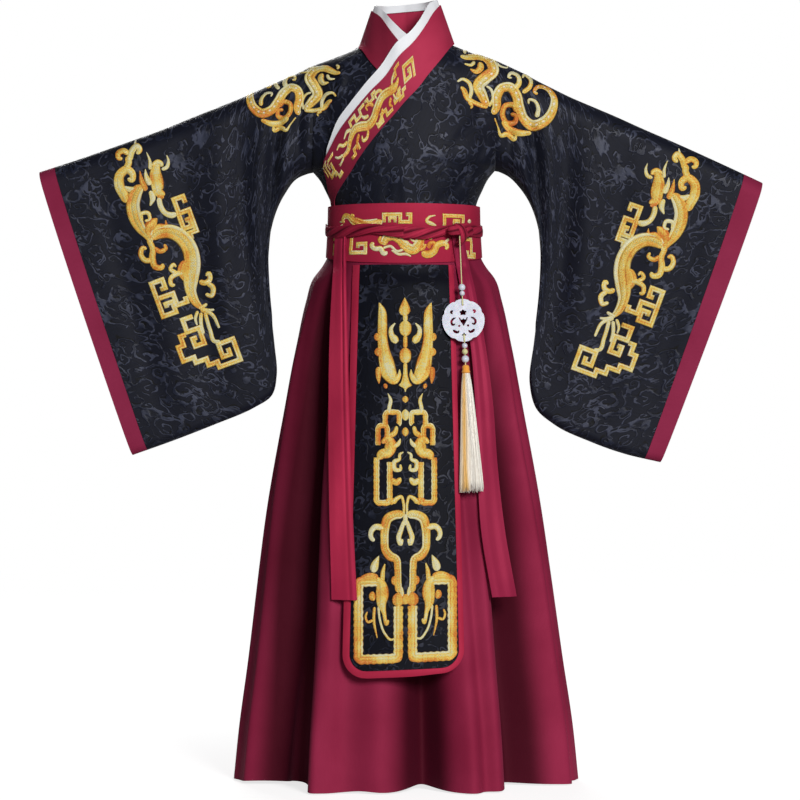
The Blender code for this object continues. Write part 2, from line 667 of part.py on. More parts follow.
def make_belt(robe, crimson, tie):
    def band(u, v):
        return belt_point(u * 2 * math.pi, v)

    cloth("belt", band, 40, 2, crimson, robe, BELT_WALL, ring=True, grow=1.0)

    def wrap(u, v):
        theta = u * 2 * math.pi
        turn = v * 2 * math.pi
        depth = WRAP_DEPTH[1] + (WRAP_DEPTH[0] - WRAP_DEPTH[1]) * np.cos(theta) ** 2
        middle = belt_point(theta, WRAP_DOWN, BELT_WALL + LAYER + depth)
        out = middle * np.array((1.0, 1.0, 0.0))
        out = out / np.linalg.norm(out, axis=-1, keepdims=True)
        place = middle + out * (depth * np.cos(turn))[..., None]
        place[..., 2] += WRAP_HEIGHT * np.sin(turn)
        return place

    ring = bmesh.new()
    bmesh.ops.create_grid(ring, x_segments=36, y_segments=6, size=0.5)
    places = np.array([vertex.co[:] for vertex in ring.verts])
    for vertex, point in zip(ring.verts, wrap(places[:, 0] + 0.5, places[:, 1] + 0.5)):
        vertex.co = point
    bmesh.ops.remove_doubles(ring, verts=ring.verts, dist=0.01 * MM)
    bmesh.ops.recalc_face_normals(ring, faces=ring.faces)
    mesh = bpy.data.meshes.new("sash_wrap")
    ring.to_mesh(mesh)
    ring.free()
    finish("sash_wrap", mesh, tie, robe)

    knot_mesh = bmesh.new()
    bmesh.ops.create_uvsphere(knot_mesh, u_segments=12, v_segments=8, radius=1.0)
    size = Matrix.Diagonal((*KNOT_SIZE, 1.0))
    turn = Matrix.Rotation(KNOT_THETA, 4, "Z")
    bmesh.ops.transform(knot_mesh, matrix=Matrix.Translation(KNOT) @ turn @ size, verts=knot_mesh.verts)
    mesh = bpy.data.meshes.new("sash_knot")
    knot_mesh.to_mesh(mesh)
    knot_mesh.free()
    finish("sash_knot", mesh, tie, robe)

    for name, table in (("ribbon_left", RIBBON_LEFT), ("ribbon_right", RIBBON_RIGHT)):
        cloth(name, lambda u, v, table=table: ribbon_point(table, u * 2 - 1, v), 2, 16, tie, robe,
              core=(0.0, 0.5), grow=1.0)


KNOT = Vector(belt_point(np.array(KNOT_THETA), np.array(0.52), KNOT_LEVEL))


def make_apron(robe, black, crimson):
    def panel(u, v):
        z = read_rows(APRON_ROWS, v)
        half = apron_half(z) - APRON_CORNER * (1 - np.cos(corner_turn(z)))
        return over_skirt((u * 2 - 1) * half, z, apron_lift(z), APRON_SWING)

    def border(u, v):
        x, z = apron_outline(u, SEAM + (BORDER - SEAM) * v)
        return over_skirt(x, z, apron_lift(z), APRON_SWING)

    rows = len(APRON_ROWS) - 1
    cloth("apron_panel", panel, 2 * BOTTOM_STEPS, rows, black, robe, APRON_WALL, core=(0.0, 0.5))
    cloth("apron_border", border, 2 * (rows + BOTTOM_STEPS), 1, crimson, robe, APRON_WALL, core=(0.0, 0.5))


def make_pendant(robe, straw, jade, orange, cream):
    def on_axis(distance):
        return DISC_PLACE + PENDANT_DOWN * distance

    outline = bpy.data.curves.new("pendant_disc", "CURVE")
    outline.dimensions = "2D"
    outline.fill_mode = "BOTH"
    outline.extrude = DISC_THICK / 2
    turn = np.radians(np.arange(0, 360, 5))
    lobed = DISC_RADIUS * (1 + LOBE * np.abs(np.cos(4 * turn)))
    loops = [np.stack([lobed * np.cos(turn), lobed * np.sin(turn)], axis=-1)]
    for angle, radius, size_x, size_z in HOLES:
        middle = radius * np.array((math.cos(math.radians(angle)), math.sin(math.radians(angle))))
        loops.append(middle + np.stack([size_x * np.cos(turn[::6]), size_z * np.sin(turn[::6])], axis=-1))
    for loop in loops:
        spline = outline.splines.new("POLY")
        spline.points.add(len(loop) - 1)
        for spot, (x, y) in zip(spline.points, loop):
            spot.co = (x, y, 0.0, 1.0)
        spline.use_cyclic_u = True
    disc = bpy.data.objects.new("pendant_disc", outline)
    outline.materials.append(jade)
    robe.objects.link(disc)
    facing = Vector((0.0, -1.0, 0.0))
    facing = (facing - PENDANT_DOWN * facing.dot(PENDANT_DOWN)).normalized()
    across = facing.cross(PENDANT_DOWN)
    hang = Matrix((across, -PENDANT_DOWN, facing)).transposed().to_4x4()
    disc.matrix_world = Matrix.Translation(DISC_PLACE) @ hang

    edge = DISC_RADIUS * (1 + LOBE)
    top_end = on_axis(-edge - 0.4 * MM)
    start = KNOT + Vector((0.0010, -0.0112, -0.0052))
    steps = [start.lerp(top_end, k / 16) for k in range(17)]
    tube("pendant_cord_upper", steps, CORD_D, straw, robe)
    low_start, low_end = on_axis(edge + 0.4 * MM), on_axis(edge + 0.0400)
    tube("pendant_cord_lower", [low_start.lerp(low_end, k / 8) for k in range(9)], CORD_D, straw, robe)

    def bead(name, place, radius, axis, look):
        hole = CORD_D / 2 + 0.35 * MM
        half = math.sqrt(radius ** 2 - hole ** 2)
        start = math.atan2(half, hole)
        bow = np.linspace(start, -start, 7)
        profile = list(zip(radius * np.cos(bow), radius * np.sin(bow)))
        turned(name, profile, place, axis, look, robe, 10)

    run = (top_end - start).normalized()
    bead("bead_1", top_end - run * 0.0205, 0.0062, run, jade)
    bead("bead_2", top_end - run * 0.0095, 0.0047, run, jade)
    bead("bead_3", on_axis(edge + 0.0065), 0.0050, PENDANT_DOWN, jade)
    bead("bead_4", on_axis(edge + 0.0170), 0.0052, PENDANT_DOWN, straw)
    bead("bead_5", on_axis(edge + 0.0300), 0.0066, PENDANT_DOWN, jade)

    cap_top = on_axis(edge + 0.0404)
    cap = [(0.0, 0.0), (0.0045, -0.0006), (0.0058, -0.0030), (0.0062, -0.0090), (0.0066, -0.0145),
           (0.0, -0.0148)]
    turned("tassel_cap", cap, cap_top, PENDANT_DOWN, orange, robe)
    skein_top = on_axis(edge + 0.0404 + 0.0152)
    skein = [(0.0, 0.0), (0.0060, -0.0004), (0.0075, -0.012), (0.0088, -0.050), (0.0100, -0.110),
             (0.0110, -0.170), (0.0115, -0.2000), (0.0, -0.2003)]
    turned("tassel", skein, skein_top, PENDANT_DOWN, cream, robe, 20)


def main():
    for old in list(bpy.data.objects):
        bpy.data.objects.remove(old, do_unlink=True)
    robe = bpy.data.collections.new("hanfu_robe")
    bpy.context.scene.collection.children.link(robe)
    black = material("black_jacquard", BLACK, 0.55)
    crimson = material("crimson_cloth", CRIMSON, 0.6)
    tie = material("crimson_tie", CRIMSON, 0.6)
    white = material("white_guard", WHITE, 0.5)
    jade = material("white_jade", JADE, 0.2)
    straw = material("straw_cord", STRAW, 0.7)
    orange = material("orange_wrap", ORANGE, 0.6)
    cream = material("cream_tassel", CREAM, 0.7)
    make_bodice(robe, black)
    make_sleeves(robe, black, crimson)
    make_collar(robe, crimson, white)
    make_skirt(robe, crimson)
    make_belt(robe, crimson, tie)
    make_apron(robe, black, crimson)
    make_pendant(robe, straw, jade, orange, cream)


main()
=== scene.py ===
"""Looks of the hanfu robe: cloth shells with creases, brocade, embroidery, tie, pendant, light and camera.

Metres, +Z up, front towards -Y, +X to the viewer's right, origin between the shoulders. Every cloth piece is
a surface of two parameters laid on the same sections as the frame's solids, with creases added.
"""
import math

import bpy
import numpy as np
from mathutils import Matrix, Vector


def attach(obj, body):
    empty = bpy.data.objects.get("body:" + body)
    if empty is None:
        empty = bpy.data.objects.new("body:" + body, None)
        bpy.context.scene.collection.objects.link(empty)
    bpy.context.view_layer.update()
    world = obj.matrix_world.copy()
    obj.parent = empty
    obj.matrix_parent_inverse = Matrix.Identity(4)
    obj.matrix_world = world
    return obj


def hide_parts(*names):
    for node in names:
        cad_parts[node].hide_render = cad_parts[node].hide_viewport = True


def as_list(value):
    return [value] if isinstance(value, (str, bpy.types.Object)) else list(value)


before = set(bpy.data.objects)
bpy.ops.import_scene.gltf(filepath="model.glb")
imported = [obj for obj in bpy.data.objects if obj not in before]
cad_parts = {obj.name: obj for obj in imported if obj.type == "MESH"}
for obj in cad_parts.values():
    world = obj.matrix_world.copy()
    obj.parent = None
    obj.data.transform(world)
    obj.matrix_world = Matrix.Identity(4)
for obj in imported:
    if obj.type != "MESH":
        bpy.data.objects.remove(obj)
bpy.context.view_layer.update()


def table(text):
    """Rows of numbers under a line that names their columns."""
    return np.array([row.split() for row in text.strip().split("\n")[1:]], float)


def strokes(text):
    """Rows of a figure: a kind, then points x,y,half_width and other words; a row that starts with a space
    goes on with the one above."""
    rows = [row.split() for row in text.replace("\n ", " ").strip().split("\n")]
    return [(kind, *(tuple(map(float, word.split(","))) if "," in word else word for word in words))
            for kind, *words in rows]


MM = 0.001
CLOTH = 1.5 * MM            # wall of the body cloth
SEAM = 0.5 * MM             # gap between two pieces sewn edge to edge
SEAM_SETBACK = 0.55 * MM    # front and back each keep this far from the shoulder and side seams
LAYER = 0.9 * MM            # gap between one layer and the next

WAIST_Z = -0.315            # lower edge of the bodice, inside the belt
SIDE_DROP = 0.32            # shoulder point to waist
SHOULDER_ROUND = 0.058      # depth below the shoulder line over which the body reaches full depth
SHOULDER_TILT = 0.030       # the shoulder line rises a little to +X
ARMPIT = 0.69               # share of the side taken by the armhole
ARMHOLE_HALF = (0.158, 0.164)           # half width of the body at the shoulder and at the armpit
ARM_DEPTH = 0.052           # half thickness of the sleeve at the armhole
BAND_LEVEL = 1.8 * MM       # underside of the crossed band, above the bodice surface
UNDER_BAND = -8.0 * MM      # underside of the under-lap's band
UNDER_PANEL = -9.8 * MM     # outer face of the under-lap's cloth
UNDER_GUARD = -11.2 * MM
NECK_TUCK = 0.18            # share of the band's width that covers the edge of the front
CUFF_START = 0.9655         # share of the sleeve's length where the cuff band begins

BELT_TOP = -0.2925
BELT_BOTTOM = -0.366        # behind
BELT_DROOP = 0.032          # how much lower the bottom edge hangs in front
BELT_WALL = 1.5 * MM
BELT_FLARE = 4.0 * MM       # how much wider the belt is at its bottom
BELT_HALF = 0.1353          # half width inside, at the top
BELT_DEPTH = (0.1118, 0.1038)           # half depth inside, in front and behind

APRON_TOP = -0.4005
APRON_BOTTOM = -1.102
APRON_HALF = (0.078, 0.0945)            # at its top and at its bottom
APRON_CORNER = 0.030
BORDER = 0.0125
APRON_WALL = 2.0 * MM
APRON_SWING = 0.012         # how much further the apron stands off the skirt at its bottom
RIBBON_LIFT = 2.4 * MM      # off the belt's inner face
RIBBON_SWING = 7.2 * MM     # off the skirt's ring

WRAP_DEPTH = (1.6 * MM, 5.0 * MM)       # half depth of the twisted tie at the sides and in front
WRAP_HEIGHT = 10.5 * MM     # its half height
WRAP_DOWN = 0.47            # where it lies between the belt's edges
KNOT_THETA = 0.668          # where the knot sits round the belt, radians from the front
KNOT_SIZE = (0.0165, 0.0095, 0.0150)
KNOT_LEVEL = BELT_WALL + LAYER + 7.4 * MM + KNOT_SIZE[1]

CORD_D = 2.0 * MM
DISC_RADIUS = 0.0370
DISC_THICK = 0.0040
LOBE = 0.035                # how far the edge's lobes stand out, as a share of the radius
DISC_PLACE = Vector((0.1035, -0.1475, -0.5000))
PENDANT_DOWN = Vector((0.045, -0.139, -0.989)).normalized()     # it leans on the skirt's slope
CAMERA_PLACE = (-0.0072, -5.0, -0.639)
LENS = 125.0                # millimetres on a 36 mm sensor: 1.44 m across at the robe's middle

# Shoulder line seen from the front: distance from the middle, height at the front, at the back.
SHOULDER = table("""
x front back
0 .014 .052
.05 .01 .034
.085 -.003 -.003
.12 -.018 -.018
.158 -.031 -.031
.175 -.037 -.037
""")
# The body below the shoulder line, from the shoulder (0) to the waist (1).
BODY = table("""
down half_width front back
0 .158 .07 .066
.2 .159 .086 .083
.45 .161 .107 .098
.69 .164 .114 .101
.75 .151 .1135 .1005
.82 .141 .1115 .1
.91 .1302 .1075 .0985
1 .1285 .106 .098
""")
# Crossed band, from the middle of the back round the neck to the front and down to the waist.
# A point whose y is nan lies on the body and takes its depth from there.
COLLAR = table("""
outer_x outer_y outer_z inner_x inner_y inner_z
0 .066 .012 0 .056 .068
.06 .047 .006 .043 .042 .066
.087 .001 -.001 .065 .001 .062
.08 nan -.012 .06 -.021 .056
.065 nan -.034 .048 -.04 .045
.04 nan -.061 .031 -.062 .025
.022 nan -.082 .01 -.075 .003
0 nan -.106 -.011 -.082 -.018
-.016 nan -.126 -.036 nan -.056
-.045 nan -.158 -.067 nan -.088
-.068 nan -.187 -.094 nan -.121
-.092 nan -.219 -.116 nan -.151
-.109 nan -.247 -.13 nan -.182
-.119 nan -.268 -.138 nan -.205
-.122 nan -.288 -.1395 nan -.235
-.121 nan -.31 -.128 nan -.3
""")
FREE_STATIONS = 7           # up to this station the band stands off the body
BLEND_STATIONS = 2
BAND_WIDTH = 0.058
GUARD_WIDTH = 0.017
GUARD_UNDER = 0.004         # how far the guard reaches under the band
GUARD_END = 13.0            # station where the over-lap's guard is lost behind the band

# Left (-1) and right sleeve from the front, root to cuff: the fold along the arm and the lower edge.
SLEEVES = {-1: table("""
along top_x top_z low_x low_z
0 .158 -.0357 .164 -.2285
.05 .17 -.041 .193 -.241
.11 .184 -.048 .215 -.269
.17 .197 -.054 .23 -.3
.25 .216 -.062 .243 -.351
.33 .238 -.072 .247 -.41
.41 .266 -.084 .242 -.465
.5 .303 -.1 .233 -.54
.58 .343 -.116 .229 -.595
.64 .386 -.133 .238 -.631
.7 .43 -.151 .27 -.653
.8 .502 -.177 .343 -.684
.9 .579 -.204 .415 -.712
1 .655 -.229 .488 -.738
"""), 1: table("""
along top_x top_z low_x low_z
0 .158 -.0263 .164 -.2255
.05 .17 -.031 .188 -.237
.11 .184 -.037 .213 -.263
.17 .197 -.043 .23 -.293
.25 .216 -.052 .245 -.345
.33 .238 -.064 .249 -.405
.41 .266 -.078 .244 -.465
.5 .303 -.096 .233 -.543
.58 .343 -.113 .226 -.608
.64 .383 -.13 .2376 -.654
.7 .425 -.149 .27 -.683
.8 .494 -.179 .335 -.714
.9 .569 -.213 .397 -.736
1 .644 -.248 .461 -.751
""")}
SLEEVE_TOP_RADIUS = (0.050, 0.031)      # along the arm, at the root and at the cuff
SLEEVE_LOW_HALF = (0.030, 0.011)        # half thickness near the lower edge
SLEEVE_LOW_RADIUS = 0.014

# Skirt rings before folding, from the hem up.
SKIRT = table("""
z half_width front back
-.325 .1345 .111 .103
-.4 .1386 .1151 .1071
-.416 .148 .119 .111
-.434 .163 .129 .12
-.47 .176 .139 .131
-.54 .193 .152 .146
-.675 .217 .171 .168
-.8 .238 .186 .183
-.945 .259 .201 .198
-1.1 .281 .215 .212
-1.22 .299 .226 .222
-1.316 .309 .232 .23
""")[::-1]
# Height of the skirt's waist and hem, and of the apron's rows, closer together where it is bent.
SKIRT_ENDS = (-0.375, -1.316)
APRON_ROWS = (-0.4005, -0.406, -0.412, -0.419, -0.427, -0.438, -0.452, -0.470, -0.495, -0.530, -0.580,
              -.66, -.76, -.86, -.96, -1.072, -1.08, -1.087, -1.093, -1.098, -1.102)
BOTTOM_STEPS = 4            # columns in half of the apron's bottom edge
# Folds: angle at the belt and at the hem and half width in degrees, how far out (-: in), and where down
# the skirt each begins and is full. The broad ones are the solid's own; then come the narrow ones.
FOLDS = table("""
top hem half_width out begins full
-54 -54 9 -.052 -.42 -.95
-34 -34 12 .02 -.5 -1.25
-4 -4 17 -.034 -.55 -1.25
24 24 11 .007 -.5 -1.2
50 50 9 -.036 -.42 -.9
70 70 9 .008 -.45 -1
-78 -78 10 -.008 -.8 -1.25
108 108 11 -.024 -.45 -1.15
132 132 11 .014 -.45 -1.15
158 158 12 -.03 -.45 -1.2
-176 -176 12 .016 -.5 -1.2
-150 -150 12 -.032 -.45 -1.15
-122 -122 11 .014 -.45 -1.2
-102 -102 9 -.02 -.5 -1.15
""")
PLEATS = table("""
top hem half_width out begins full
-72 -66 3.2 .009 -.4 -.62
-54 -39 7.5 -.05 -.4 -.58
-34 -29 3.6 .02 -.9 -1.28
-34 -24 2.6 .007 -.4 -.6
-10 -8 8 .026 -.75 -1.22
6 8.5 6 -.05 -.85 -1.22
19 22 3.4 .01 -1 -1.28
25 27 2.2 -.007 -.42 -.8
31 32 2.4 .007 -.42 -.6
40 40 3.4 -.012 -.42 -.6
57 47 9 -.036 -.42 -.8
64 65 3.2 .011 -.4 -.6
72 73 2.8 -.009 -.42 -.65
-84 -82 3 .005 -.45 -.9
80 83 3.2 .0045 -.45 -.9
98 101 4.2 -.018 -.45 -.8
116 120 3.4 .009 -.45 -.8
142 146 4 -.016 -.45 -.9
168 170 3.6 .0085 -.45 -.8
-166 -163 4 -.016 -.45 -.9
-140 -137 3.4 .009 -.45 -.8
-112 -111 4 -.016 -.45 -.9
-94 -93 3 .005 -.45 -.8
""")
# Wide folds whose inside is painted darker as shade: degrees, how dark, and z where they end.
PAINTED_FOLD_SHADE = table("""
waist hem half_width dark end
-60 -50 21 .70 -1.25
54 36 5.5 .45 -1.16
""")
# Where the hem hangs higher, in degrees, and how much.
HEM_LIFTS = table("""
middle half_width lift
-44 9 .010
-62 9 .005
-14 6 .003
6 7 .008
44 12 .004
205 20 .006
""")

# Free ends of the tie: its middle line and half width.
RIBBONS = {"left": table("""
z x half
-.352 -.112 .01
-.372 -.113 .0105
-.44 -.114 .0125
-.52 -.1145 .0155
-.65 -.1135 .018
-.82 -.1095 .02
-.984 -.103 .022
"""), "right": table("""
z x half
-.352 .095 .0105
-.372 .098 .011
-.447 .112 .0125
-.535 .128 .013
-.64 .139 .0155
-.76 .145 .018
-.866 .154 .021
-.981 .1735 .0215
""")}
# Creases seen from the front: from and to, half width, how far they stand out (-: in), and their bow.
FRONT_CREASES = table("""
x0 z0 x1 z1 half_width out bow
.152 -.165 .06 -.292 .009 -.0042 .01
.156 -.135 .085 -.19 .008 -.004 -.006
.15 -.06 .12 -.15 .007 -.0045 .008
.128 -.2 .105 -.296 .007 .0038 .004
.04 -.205 .032 -.3 .0075 -.0028 .003
0 -.225 .004 -.3 .0065 .0024 -.002
-.03 -.232 -.036 -.3 .0065 -.0024 .003
.075 -.215 .074 -.298 .007 .0024 .004
.11 -.02 .15 -.075 .009 .003 -.006
-.152 -.15 -.105 -.215 .008 -.004 .006
-.15 -.06 -.125 -.14 .007 -.0042 -.007
-.112 -.035 -.12 -.11 .008 .0032 .005
""")
SLEEVE_CREASES = table("""
x0 z0 x1 z1 half_width out bow
.172 -.06 .186 -.225 .009 -.006 .008
.186 -.07 .216 -.27 .01 .0055 .012
.205 -.075 .235 -.33 .012 -.006 .014
.235 -.09 .246 -.43 .016 .0055 .018
.285 -.11 .262 -.52 .018 -.006 .016
.33 -.125 .3 -.6 .022 .0055 .012
.395 -.16 .335 -.64 .022 -.005 .008
.47 -.2 .385 -.67 .024 .0048 .01
.545 -.235 .425 -.69 .02 -.004 .006
.19 -.225 .25 -.4 .007 -.0045 -.008
.182 -.232 .236 -.48 .006 .0036 -.012
""")
BACK_CREASES = table("""
x0 z0 x1 z1 half_width out bow
-.12 -.06 .125 -.07 .016 -.0035 .012
.15 -.14 .045 -.29 .009 -.0042 .01
-.15 -.15 -.06 -.288 .0095 -.004 -.012
.15 -.09 .07 -.18 .0085 .0034 .008
-.148 -.08 -.08 -.19 .009 .0032 -.006
.02 -.2 .024 -.3 .008 -.003 .003
-.018 -.19 -.022 -.3 .008 .0028 .003
.08 -.21 .078 -.3 .0075 -.0026 .003
-.075 -.215 -.08 -.3 .0075 -.0026 .003
""")


def shown(name, data):
    """A new object of that data, at the origin, in the scene."""
    made = bpy.data.objects.new(name, data)
    bpy.context.scene.collection.objects.link(made)
    return made


def set_camera():
    lens = bpy.data.cameras.new("front_camera")
    lens.lens = LENS
    lens.sensor_width = 36.0
    camera = shown("front_camera", lens)
    camera.location = CAMERA_PLACE
    camera.rotation_euler = (math.pi / 2, 0.0, 0.0)
    bpy.context.scene.camera = camera


set_camera()


# ---- sums that many pieces use
def smooth_interp(x, xs, ys):
    """Catmull-Rom curve through (xs, ys), read at x."""
    xs = np.asarray(xs, float)
    ys = np.asarray(ys, float)
    slope = np.gradient(ys, xs)
    x = np.clip(x, xs[0], xs[-1])
    i = np.clip(np.searchsorted(xs, x, side="right") - 1, 0, len(xs) - 2)
    step = xs[i + 1] - xs[i]
    t = (x - xs[i]) / step
    return (ys[i] * (1 + 2 * t) * (1 - t) ** 2 + slope[i] * step * t * (1 - t) ** 2
            + ys[i + 1] * t * t * (3 - 2 * t) + slope[i + 1] * step * t * t * (t - 1))


def curves(rows, x):
    """Each column after the first as a smooth curve over the first, read at x."""
    return [smooth_interp(x, rows[:, 0], column) for column in rows.T[1:]]


def mix(first, last, share):
    return first + (last - first) * share


def ramp(x, start, full):
    """0 before start, 1 past full, smooth between."""
    t = np.clip((x - start) / (full - start), 0.0, 1.0)
    return t * t * (3 - 2 * t)


def bell(away, half_width):
    return np.exp(-(away / half_width) ** 2)


def rounded(t):
    """Quarter circle: 0 at 0, 1 from 1 on."""
    return np.sqrt(np.clip(1 - (1 - np.clip(t, 0, 1)) ** 2, 0, 1))


def oval(t, power, least=0.0):
    """1 in the middle of 0 to 1, falling to least at both ends; a higher power stays full for longer."""
    return np.sqrt(np.clip(1 - np.abs(2 * t - 1) ** power, least, 1))


def stack(x, y, z):
    return np.stack(np.broadcast_arrays(x, y, z), axis=-1)


def unit(rows):
    return rows / np.linalg.norm(rows, axis=-1, keepdims=True)


def left_of(way):
    return np.stack([-way[:, 1], way[:, 0]], axis=1)


def run_along(points):
    """Distance run along a line at each of its points."""
    return np.concatenate([[0.0], np.cumsum(np.linalg.norm(np.diff(points, axis=0), axis=1))])


def smooth_line(rows, t):
    """Smooth curve through rows of x, y, half width, read at distance t: place, its left side, half width."""
    x, y, half = curves(np.column_stack([run_along(rows[:, :2]), rows]), t)
    place = np.stack([x, y], axis=1)
    return place, left_of(unit(np.gradient(place, t, axis=0))), half


# ---- the body
def shoulder_z(x, back):
    return curves(SHOULDER, np.abs(x))[back] + SHOULDER_TILT * x


def body_half(down):
    """Half width of the body: straight along the armhole, then in to the waist."""
    lower = BODY[BODY[:, 0] >= ARMPIT, :2]
    return np.where(down < ARMPIT, mix(*ARMHOLE_HALF, down / ARMPIT), curves(lower, down)[0])


def armhole_depth(share):
    """Half thickness at the armhole, from its top (0) to its foot (1)."""
    return ARM_DEPTH * oval(np.clip(share, 0, 1), 3)


def body_point(theta, down, level=0.0, back=False):
    """Bodice surface: theta from 0 in the middle to +-90 degrees at the side seam."""
    half = body_half(down)
    x = half * np.sin(theta)
    top = rounded(down * SIDE_DROP / SHOULDER_ROUND)
    depth = curves(BODY, down)[2 if back else 1] * top
    edge = armhole_depth(down / ARMPIT)
    power = 2.0 - ramp(down, 0.35, ARMPIT)
    y = SEAM_SETBACK + edge + (depth - edge) * np.clip(np.abs(np.cos(theta)), 0, 1) ** power
    grow = level / np.maximum(half, 0.05)
    z = mix(shoulder_z(x, back), WAIST_Z, down) + level * (1 - top)
    y = y * (1 + grow) + level * (1 - np.abs(np.sin(theta))) * 0.45 * ramp(down, 0.0, 0.1)
    return stack(x * (1 + grow), y if back else -y, z)


def body_coords(x, z):
    """The front surface's theta and down under the point (x, z) of the front view."""
    z_top = shoulder_z(x, False)
    down = np.clip((z_top - z) / (z_top - WAIST_Z), 0, 1)
    return np.arcsin(np.clip(x / body_half(down), -1, 1)), down


# ---- the collar
def collar_stations(side):
    """Outer and inner edge of the band at each station, then where on the body they lie."""
    edges, places = [], []
    for x, y, z in (COLLAR.T[:3], COLLAR.T[3:]):
        place = body_coords(side * x, z)
        free = stack(side * x, y, z + side * SHOULDER_TILT * x)
        edges.append(np.where(np.isnan(y)[:, None], body_point(*place), free))
        places.append(np.stack(place, axis=-1))
    return edges + places


STATIONS = {side: collar_stations(side) for side in (1, -1)}
LAST = len(COLLAR) - 1.0


def along(rows, t):
    """Smooth curve through the stations' rows, read at station number t."""
    return np.stack(curves(np.column_stack([np.arange(len(rows)), rows]), t), axis=-1)


def collar_point(t, across, side, level):
    """Band surface: t counts stations from the middle of the back, across runs outer to inner."""
    across = np.asarray(across)[..., None]
    outer, inner, outer_uv, inner_uv = (along(rows, t) for rows in STATIONS[side])
    free = mix(outer, inner, across)
    radial = free * np.array((1.0, 1.0, 0.0)) + np.array((0.0, 0.0, 0.06))
    free = free + unit(radial) * np.asarray(level)[..., None]
    under = body_point(*body_coords(free[..., 0], free[..., 2]), level)
    before = (np.asarray(t) > 2.1) & (free[..., 1] < 0)
    free[..., 1] = np.where(before, np.minimum(free[..., 1], under[..., 1]), free[..., 1])
    uv = mix(outer_uv, inner_uv, across)
    laid = body_point(uv[..., 0], uv[..., 1], level)
    return mix(free, laid, ramp(t, FREE_STATIONS, FREE_STATIONS + BLEND_STATIONS)[..., None])


def front_edge(down, side, tuck=NECK_TUCK):
    """Theta of the front's crossed edge at each height, tucked under the band."""
    t = np.linspace(2.0, LAST, 200)
    uv = mix(*(along(rows, t) for rows in STATIONS[side][2:]), tuck)
    uv[:, 1] = np.maximum.accumulate(uv[:, 1])
    return np.interp(down, uv[:, 1] - uv[0, 1] * (1 - uv[:, 1]), uv[:, 0])


def sleeve_point(s, turn, side):
    """Sleeve ring at s from root (0) to cuff (1); turn 0-1 runs down the front, 1-2 up the back."""
    top_x, top_z, low_x, low_z = curves(SLEEVES[side], s)
    share = (1 - np.cos(np.pi * np.minimum(turn, 2.0 - turn))) / 2
    length = np.hypot(low_x - top_x, low_z - top_z)
    arm, low = mix(*SLEEVE_TOP_RADIUS, ramp(s, 0, 1)), mix(*SLEEVE_LOW_HALF, ramp(s, 0, 0.5))
    hanging = mix(arm, low, ramp(share, 0.05, 0.9)) * rounded(share * length / arm)
    hanging = hanging * rounded((1 - share) * length / SLEEVE_LOW_RADIUS)
    half = mix(armhole_depth(share), hanging, ramp(s, 0.0, 0.30))
    y = np.where(turn <= 1.0, -half, half)
    return stack(side * mix(top_x, low_x, share), y, mix(top_z, low_z, share))


# ---- belt and skirt
def belt_flare(down):
    return smooth_interp(down, (0.0, 0.4, 1.0), (0.0002, 0.0010, BELT_FLARE))


def belt_point(theta, down, level=0.0):
    """Belt surface: theta round the body from the front, down from its top edge to its bottom edge."""
    z = mix(BELT_TOP, BELT_BOTTOM, down) - BELT_DROOP * down * (1 + np.cos(theta)) / 2
    out = belt_flare(down) + level
    depth = np.where(np.cos(theta) > 0, *BELT_DEPTH) + out
    return stack((BELT_HALF + out) * np.sin(theta), -depth * np.cos(theta), z)


def belt_rise(theta, z):
    """How much higher the skirt springs from the belt at theta than it does in front."""
    return BELT_DROOP * (1 - np.cos(theta)) / 2 * (1 - ramp(-z, 0.40, 0.56))


def folds(rows, angle, z):
    """Sum of bells round the skirt; each bell's middle drifts from its belt angle to its hem angle."""
    out = np.zeros(np.broadcast(angle, z).shape)
    for top, hem, half_width, height, begins, full in rows:
        turn = (angle - mix(top, hem, ramp(-z, 0.40, 1.30)) + 180.0) % 360.0 - 180.0
        out = out + height * ramp(-z, -begins, -full) * bell(turn, half_width)
    return out


def skirt_point(angle, z, level=0.0):
    """Skirt surface: angle in degrees from the front, z down from the waist to the hem."""
    half, front, back = curves(SKIRT, z)
    theta = np.radians(angle)
    depth = np.where(np.cos(theta) > 0, front, back)
    out = folds(FOLDS, angle, z) + level
    return stack((half + out) * np.sin(theta), -(depth + out) * np.cos(theta), z + belt_rise(theta, z))


def over_skirt(x, z, lift, swing):
    """Point at (x, z) that hangs before the skirt: lift clears its ring, swing grows to the hem."""
    theta = np.arcsin(np.clip(np.abs(x) / curves(SKIRT, z)[0], 0, 0.95))
    half, front, _ = curves(SKIRT, z - belt_rise(theta, z))
    share = np.clip(np.abs(x) / half, 0, 0.95)
    y = -front * np.sqrt(1 - share ** 2) - lift - swing * ramp(-z, 0.40, 1.10)
    return stack(x, y, z)


def ribbon_point(rows, across, down):
    z = mix(rows[0, 0], rows[-1, 0], down)
    middle, half = curves(rows[::-1], z)
    point = over_skirt(middle + across * half, z, RIBBON_SWING, 0.016)
    belt_down = np.clip((BELT_TOP - z) / (BELT_TOP - BELT_BOTTOM), 0, 1)
    belt_half = BELT_HALF + belt_flare(belt_down) + RIBBON_LIFT
    turn = np.arcsin(np.clip((middle + across * half) / belt_half, -1, 1))
    over_belt = belt_point(turn, belt_down, RIBBON_LIFT)
    point[..., 1] = mix(point[..., 1], over_belt[..., 1], ramp(z, -0.415, -0.398))
    return point


def apron_half(z):
    return mix(*APRON_HALF, (z - APRON_TOP) / (APRON_BOTTOM - APRON_TOP))


def apron_z(v):
    """Height of the apron's row v, from the first (0) to the last (1)."""
    return np.interp(v * (len(APRON_ROWS) - 1), np.arange(len(APRON_ROWS)), APRON_ROWS)


def corner_turn(z):
    """How far round its bottom corner the apron's outline has turned at height z."""
    return np.arcsin(np.clip(1 - (z - APRON_BOTTOM) / APRON_CORNER, 0, 1))


